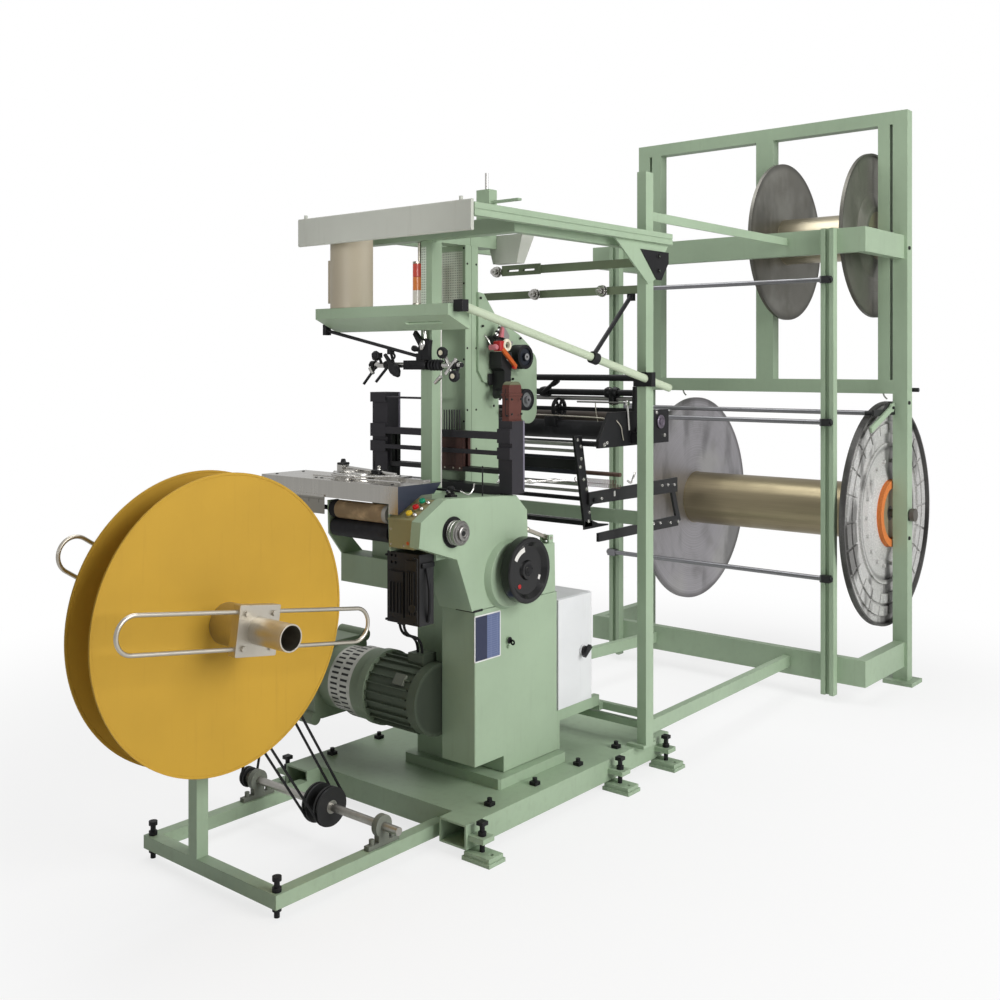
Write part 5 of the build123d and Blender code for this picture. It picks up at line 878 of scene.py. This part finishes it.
# The weft feeder: its case, red lever gear, ivory eye, steel plates and a small roller
case_side = [
    (-0.004, 1.489), (0.012, 1.478), (0.012, 1.392), (0.044, 1.392), (0.05, 1.484), (0.06, 1.5),
    (0.052, 1.546), (-0.004, 1.548),
]
eye_ring = [
    (0.011, 0.106), (0.0205, 0.106), (0.0225, 0.109), (0.0225, 0.115), (0.0205, 0.118), (0.0125, 0.118),
    (0.011, 0.115), (0.011, 0.106),
]
upper_plate = [(0.006, 1.6), (0.046, 1.588), (0.052, 1.606), (0.02, 1.642), (0.004, 1.642)]
lower_plate = [(0.01, 1.556), (0.046, 1.566), (0.056, 1.584), (0.03, 1.59)]
disc_places = ((-0.012, 1.6058), (0.002, 1.6192), (0.016, 1.6326), (0.028, 1.644))
disc_reach = np.array([0, 0.0035, 0.0034])
disc_radii = [0.012, 0.0128, 0.012]
finger = [(0.08, -0.08, 1.606), (0.086, -0.066, 1.59), (0.09, -0.058, 1.574), (0.09, -0.046, 1.57)]
fit("feeder_case", "frame", stock("black_paint"),
    prism("X", case_side, 0.041, 0.098, 0.002),
    block((0.041, 0.08), (-0.014, 0.04), (1.564, 1.604), 0.003),
    tube([(0.078, -0.02, 1.598), (0.078, 0.03, 1.646)], 0.0095, 14),
    knob((0.06, 0.006, 1.396), (0.098, 0.006, 1.396), [0.018, 0.018, 0.016, 0.016, 0.018, 0.018], 24))
fit("feeder_levers", "frame", signal_red,
    block((0.082, 0.116), (-0.034, -0.004), (1.549, 1.586), 0.003),
    prism("X", rounded((0.05, 1.494), 0.022, 0.018, 0.008), 0.108, 0.117, 0.001))
fit("feeder_arm", "frame", burnt_orange,
    prism("X", [(-0.026, 1.552), (-0.014, 1.562), (0.06, 1.499), (0.052, 1.487)], 0.11, 0.119, 0.001))
fit("feeder_rose_parts", "frame", rose,
    prism("X", [(-0.014, 1.6), (0.004, 1.598), (0.008, 1.632), (-0.002, 1.638)], 0.092, 0.101, 0.001),
    knob((0.08, -0.046, 1.563), (0.112, -0.046, 1.563), [0.011, 0.011, 0.009, 0.011, 0.011, 0.008], 18))
fit("feeder_eye", "frame", ivory, turned("X", (0.006, 1.571), eye_ring, 40))
fit("feeder_plates", "frame", rod_steel,
    prism("X", upper_plate, 0.084, 0.089, 0.001),
    prism("X", lower_plate, 0.098, 0.103, 0.001),
    cross_rod(0.041, 0.086, 0.036, 1.612, 0.006, 12))
fit("feeder_bright", "frame", chrome,
    *[knob((0.078, y, z) - disc_reach, (0.078, y, z) + disc_reach, disc_radii, 18) for y, z in disc_places],
    wire(finger, 24, 0.0028, 8),
    heads("X", [(0.006, 1.396), (0.028, 1.52), (0.03, 1.43), (0.012, 1.571)], 0.0975, 0.0058, 0.003, 12, 0.5))
for grid_piece in (
    "feeder_case", "feeder_levers", "feeder_arm", "feeder_rose_parts", "feeder_eye", "feeder_plates", "feeder_bright",
):
    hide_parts("feeder_body")

# The column: a window in the feeder's bracket painted as a dark sheet of shade, and cap screws on its right side and
# front
bracket_screws = [
    (-0.052, 1.74), (-0.03, 1.69), (0.02, 1.668), (0.014, 1.6), (-0.04, 1.64), (0.13, 1.448),
    (0.176, 1.6), (0.02, 1.352), (0.06, 1.33),
]
side_screws = [(y, z) for y in (-0.108, -0.06) for z in (1.2, 1.34, 1.56, 1.86)]
front_screws = [(x, z) for x in (-0.104, 0.018) for z in (1.3, 1.52, 1.655, 1.79, 1.915)]
# Painted shade: a dark sheet for the bracket's window
fit("bracket_window_shade", "frame", black_and_shade, block((0.0395, 0.0416), (-0.011, 0.035), (1.4265, 1.469), 0.0008))
fit("column_screws", "frame", black,
    heads("X", bracket_screws, 0.0408, 0.0046, 0.002, 12, 0.5),
    heads("X", side_screws, 0.0248, 0.004, 0.0018, 12, 0.5),
    heads("Y", front_screws, -0.1178, 0.004, -0.0018, 12, 0.5))

# The yarn guides on the post: knobs with ivory faces, bright cross rods, rubber grips
guide_knobs = ((0.122, 1.541), (0.176, 1.463))
knob_face = [(0.0, -0.3505), (0.0085, -0.3505), (0.0085, -0.3535), (0.003, -0.3545), (0.0, -0.3545)]
grip_radii = [0.015, 0.0185, 0.02, 0.02, 0.018]
handle_radii = [0.0065, 0.007, 0.008, 0.012, 0.018, 0.02, 0.016, 0.007]
collar_places = (0.05, 0.064, 0.078, 0.092)
hook_plate = [
    (-0.006, 1.516), (0.044, 1.516), (0.048, 1.56), (0.052, 1.584), (0.034, 1.59), (0.006, 1.588),
    (-0.022, 1.618), (-0.03, 1.606), (-0.002, 1.566),
]
hook = [(-0.13, -0.335, 1.534), (-0.118, -0.337, 1.542), (-0.108, -0.337, 1.53), (-0.118, -0.337, 1.518)]
fit("post_strip", "frame", label_white,
    prism("X", rounded((-0.259, 1.36), 0.006, 0.56, 0.002), 0.0378, 0.0392, 0.0004))
fit("guide_knob_faces", "frame", ivory, turned("Y", tuple(zip(*guide_knobs)), knob_face, 20))
fit("guide_grips", "frame", stock("dark_rubber"),
    *[knob((x, -0.332, z), (x, -0.3515, z), grip_radii, 28) for x, z in guide_knobs],
    knob((-0.19, -0.33, 1.534), (-0.212, -0.345, 1.53), [0.01, 0.018, 0.018, 0.012], 20),
    knob((-0.158, -0.335, 1.536), (-0.082, -0.345, 1.462), handle_radii, 20),
    *[knob((x - 0.004, -0.319, 1.5), (x + 0.004, -0.319, 1.5), [0.017, 0.0195, 0.017], 24) for x in collar_places])
fit("guide_clamp", "frame", black,
    block((-0.04, 0.036), (-0.338, -0.304), (1.486, 1.516), 0.004),
    prism("Y", hook_plate, -0.33, -0.314, 0.002),
    knob((-0.034, -0.322, 1.558), (-0.006, -0.322, 1.552), [0.01, 0.011, 0.008, 0.008], 18),
    wire(hook, 20, 0.0036, 8))
fit("guide_bright", "frame", chrome,
    cross_rod(-0.246, -0.04, -0.3192, 1.5, 0.01, 16),
    cross_rod(0.096, 0.186, -0.3192, 1.5, 0.0098, 16),
    tube([(0.122, -0.332, 1.536), (0.156, -0.33, 1.47)], 0.0062, 12),
    tube([(0.13, -0.336, 1.47), (0.172, -0.33, 1.52)], 0.0062, 12),
    knob((0.112, -0.338, 1.462), (0.086, -0.342, 1.438), [0.007, 0.0072, 0.0066, 0.0066, 0.005], 14),
    knob((0.018, -0.334, 1.552), (0.026, -0.334, 1.584), [0.006, 0.009, 0.011, 0.01, 0.005], 18),
    knob((-0.24, -0.33, 1.49), (-0.222, -0.33, 1.47), [0.007, 0.008, 0.006], 12),
    tube([(0.024, -0.322, 1.59), (0.016, -0.322, 1.64)], 0.006, 10))

# The let-off stand: rods, clamps, wires, bearings, bolts, springs, rollers and the panel between its sides
rods = (
    (-0.374, 0.376, 0.452, 1.372, 0.0085, 14),
    (0.12, 0.352, 0.424, 1.359, 0.0036, 8),
    (-0.294, 0.294, 0.173, 1.215, 0.0075, 12),
    (-0.294, 0.294, 0.186, 1.19, 0.006, 12),
    (-0.294, 0.294, 0.205, 1.07, 0.0075, 12),
    (-0.294, 0.294, 0.212, 1.044, 0.006, 12),
)
foot_bracket = [(0.216, 0.936), (0.262, 0.934), (0.3, 0.92), (0.366, 0.911), (0.366, 0.906), (0.212, 0.905)]
wires = (
    ([(0.262, 0.436, 1.412), (0.272, 0.432, 1.38), (0.28, 0.43, 1.346)], 16, 0.002),
    ([(0.204, 0.424, 1.362), (0.218, 0.41, 1.322), (0.232, 0.402, 1.286)], 16, 0.002),
    ([(-0.18, 0.4, 1.306), (0.04, 0.4, 1.304), (0.24, 0.4, 1.3), (0.292, 0.4, 1.29)], 28, 0.0028),
    ([(0.392, 0.29, 1.3), (0.397, 0.312, 1.276), (0.396, 0.322, 1.25), (0.393, 0.334, 1.226)], 20, 0.002),
)
bearing = [
    (0.0, 0.3895), (0.026, 0.3895), (0.026, 0.395), (0.0235, 0.3965), (0.019, 0.3965), (0.018, 0.3945),
    (0.012, 0.3945), (0.011, 0.3985), (0.0, 0.399),
]
# Bolts of the leaning side plate: a height and a step off the plate's middle line
bolt_heights = (
    (1.232, -0.006), (1.208, 0.008), (1.163, 0.0), (1.134, -0.012), (1.088, 0.0), (1.052, 0.01),
    (0.966, 0.012), (0.934, 0.0),
)
plate_bolts = [(0.173 + 0.066 * (1.246 - z) / 0.332 + step, z) for z, step in bolt_heights]
crank = [(0.326, 0.462, 1.064), (0.33, 0.48, 1.056), (0.33, 0.496, 1.076), (0.326, 0.512, 1.092)]
fit("letoff_rods", "frame", rod_steel, *[cross_rod(*rod) for rod in rods])
fit("letoff_clamps", "frame", black,
    knob((0.24, 0.445, 1.395), (0.296, 0.445, 1.395), [0.018, 0.022, 0.022, 0.016, 0.022, 0.022, 0.018], 24),
    knob((-0.07, 0.445, 1.395), (-0.03, 0.445, 1.395), [0.018, 0.021, 0.021, 0.018], 24),
    block((0.262, 0.286), (0.428, 0.462), (1.35, 1.395), 0.003),
    tube([(-0.05, 0.43, 1.392), (0.018, 0.412, 1.432)], 0.008, 14),
    knob((0.006, 0.416, 1.424), (0.04, 0.406, 1.44), [0.01, 0.011, 0.011, 0.01], 16),
    block((-0.01, 0.042), (0.384, 0.4), (1.262, 1.3), 0.002),
    *[prism("X", foot_bracket, low, high, 0.0015) for low, high in ((0.298, 0.306), (-0.306, -0.298))])
fit("letoff_wires", "frame", satin, *[wire(*bent, 6) for bent in wires])
fit("letoff_bearings", "frame", bearing_steel,
    turned("X", (0.59, 1.284), bearing, 36), turned("X", (0.445, 1.25), bearing, 36))
fit("letoff_bolts", "frame", chrome,
    heads("X", [(0.617, 1.232), (0.23, 1.222), (0.56, 1.32), (0.214, 1.216)], 0.3898, 0.0078, 0.005, 6, 0.4),
    heads("X", plate_bolts, 0.3058, 0.0072, 0.005, 6, 0.4),
    tube([(0.3955, 0.356, 1.35), (0.3955, 0.367, 1.262)], 0.0046, 10),
    knob((0.393, 0.354, 1.36), (0.402, 0.354, 1.36), [0.009, 0.011, 0.009], 18),
    wire(crank, 20, 0.004, 8))
fit("letoff_springs", "frame", spring_brown,
    cross_rod(0.15, 0.376, 0.34, 1.098, 0.008, 12),
    tube(spring((0.18, 0.33, 1.07), (0.36, 0.33, 1.07), 0.0085, 16), 0.0016, 5),
    tube(spring((0.18, 0.36, 1.052), (0.36, 0.36, 1.052), 0.007, 18), 0.0014, 5))
fit("letoff_sleeves", "frame", sleeve_brown,
    knob((-0.374, 0.56, 1.29), (0.374, 0.56, 1.29), [0.036] + [0.04] * 8 + [0.036], 40))
fit("letoff_drum", "frame", stock("dark_rubber"),
    knob((-0.374, 0.445, 1.25), (0.374, 0.445, 1.25), [0.033] + [0.036] * 8 + [0.033], 40))
fit("drop_panel", "frame", navy, block((-0.294, 0.294), (0.2, 0.208), (1.104, 1.168), 0.002))
fit("turnbuckle", "frame", chrome,
    tube([(0.12, -0.06, 1.086), (0.27, 0.15, 1.086)], 0.0036, 8),
    knob((0.16, -0.004, 1.086), (0.206, 0.06, 1.086), [0.004, 0.0085, 0.0085, 0.006, 0.0085, 0.0085, 0.004], 12),
    knob((0.226, 0.088, 1.086), (0.256, 0.13, 1.086), [0.004, 0.008, 0.008, 0.004], 12))

# The swing arm: bolts along its two bars and a blank tag
arm_bolts = [
    (0.716, 1.026), (0.759, 1.025), (0.807, 1.022), (0.653, 0.882), (0.702, 0.88), (0.778, 0.873),
    (0.836, 0.872), (0.3, 1.012),
]
fit("swing_bolts", "swing_arm", chrome, heads("X", arm_bolts, 0.3178, 0.007, 0.005, 6, 0.4))
fit("swing_tag", "swing_arm", label_white,
    prism("X", rounded((0.387, 1.022), 0.01, 0.02, 0.003), 0.317, 0.3192, 0.0004))

# The healds: cap screws, violet edge strips on the guides and the screws of the heald pack
cap_side = [(y, z) for z in (1.335, 1.385) for y in (-0.188, -0.138)]
cap_front = [(x, z) for z in (1.33, 1.385) for x in (0.253, 0.283)]
fit("cap_screws", "frame", black,
    heads("X", cap_side, 0.2958, 0.0042, 0.0024, 6, 0.5),
    heads("Y", cap_front, -0.2, 0.004, -0.0024, 6, 0.5))
fit("guide_edges", "frame", edge_violet,
    block((0.2925, 0.2975), (-0.13, -0.1215), (1.078, 1.312), 0.001),
    block((-0.2985, -0.2945), (-0.13, -0.1215), (1.118, 1.4), 0.001))
fit("pack_screws", "heald_frame_front", satin,
    heads("Y", [(x, z) for x in (-0.056, -0.018, 0.022, 0.052) for z in (1.14, 1.259)],
          -0.1778, 0.0036, -0.0018, 10, 0.5))

# The creel: the gusset's plate, the bolts on both outer sides of its posts and two yarn hooks
gusset = [(0.33, 1.918), (0.52, 1.918), (0.52, 1.88), (0.47, 1.812), (0.438, 1.812)]
post_bolts = [(2.208, z) for z in (0.686, 0.776, 1.322, 2.05)]
fit("gusset_skin", "frame", black,
    prism("X", gusset, 0.4675, 0.4705, 0.0008),
    heads("X", [(0.452, 1.9), (0.452, 1.846)], 0.47, 0.0085, 0.006, 6, 0.4))
fit("creel_bolts", "frame", black,
    *[heads("X", post_bolts, side * 0.7445, 0.0095, side * 0.007, 6, 0.4) for side in (1, -1)])
fit("rod_hooks", "frame", chrome, *[
    wire([(x, 2.268, 1.412), (x - 0.012, 2.27, 1.386), (x - 0.004, 2.272, 1.352), (x + 0.01, 2.272, 1.336)],
         20, 0.0042, 8)
    for x in (-0.504, 0.606)
])


def stage_floor():
    """A wide pale floor that turns white away from the loom and keeps its shadow."""
    size = 60.0
    mesh = bpy.data.meshes.new("floor")
    corners = [(-size, -size), (size, -size), (size, size), (-size, size)]
    mesh.from_pydata([(x, y, -0.0005) for x, y in corners], [], [(0, 1, 2, 3)])
    floor = bpy.data.objects.new("floor", mesh)
    bpy.context.scene.collection.objects.link(floor)
    paint = Paint("floor_white")
    lit = paint.node("BsdfDiffuse", None, {"Color": (0.86, 0.86, 0.86, 1.0)})
    glow = paint.node("Emission", None, {"Color": (1.0, 1.0, 1.0, 1.0), "Strength": 1.0})
    rays = paint.node("LightPath", None, None, "Is Camera Ray")
    glossy = paint.node("LightPath", None, None, "Is Glossy Ray")
    far = paint.smooth((paint.axis("X") ** 2.0 + (paint.axis("Y") - 0.4) ** 2.0) ** 0.5, 1.4, 3.6)
    white = rays * (0.76 + far * 0.24) + glossy * 0.35
    mixed = paint.node("MixShader", None, {0: white, 1: lit, 2: glow})
    paint.node("OutputMaterial", None, {"Surface": mixed})
    mesh.materials.append(paint.made)


def studio_light():
    """A white room: a strong soft box on the right, weak ones in front and above, and white to the camera."""
    paint = Paint("studio", bpy.data.worlds)
    white = (1.0, 1.0, 1.0, 1.0)
    even = paint.node("Background", None, {"Color": white, "Strength": 0.17})
    backdrop = paint.node("Background", None, {"Color": white, "Strength": 1.0})
    seen = paint.node("LightPath", None, None, "Is Camera Ray")
    seen = seen.larger(paint.node("LightPath", None, None, "Is Glossy Ray") * 0.5)
    seen = seen.larger(paint.node("LightPath", None, None, "Is Transmission Ray"))
    mixed = paint.node("MixShader", None, {0: seen, 1: even, 2: backdrop})
    paint.node("OutputWorld", None, {"Surface": mixed})
    bpy.context.scene.world = paint.made
    for name, place, aim, size, power in (
        ("key", (6.4, 0.4, 3.4), (0.0, 0.8, 1.0), 4.0, 365),
        ("front", (0.2, -3.4, 1.85), (0.0, 0.0, 1.84), 0.8, 2.4),
        ("top", (-1.0, 0.6, 6.0), (0.0, 0.6, 0.5), 4.0, 160),
    ):
        lamp = bpy.data.lights.new(name, "AREA")
        lamp.size = size
        lamp.spread = math.radians(45 if name == "front" else 180)
        lamp.energy = power
        light = bpy.data.objects.new(name, lamp)
        away = np.array(place) - np.array(aim)
        flat = math.hypot(away[0], away[1])
        light.location = place
        light.rotation_euler = (math.atan2(flat, away[2]), 0, math.atan2(away[0], -away[1]))
        bpy.context.scene.collection.objects.link(light)


stage_floor()
studio_light()
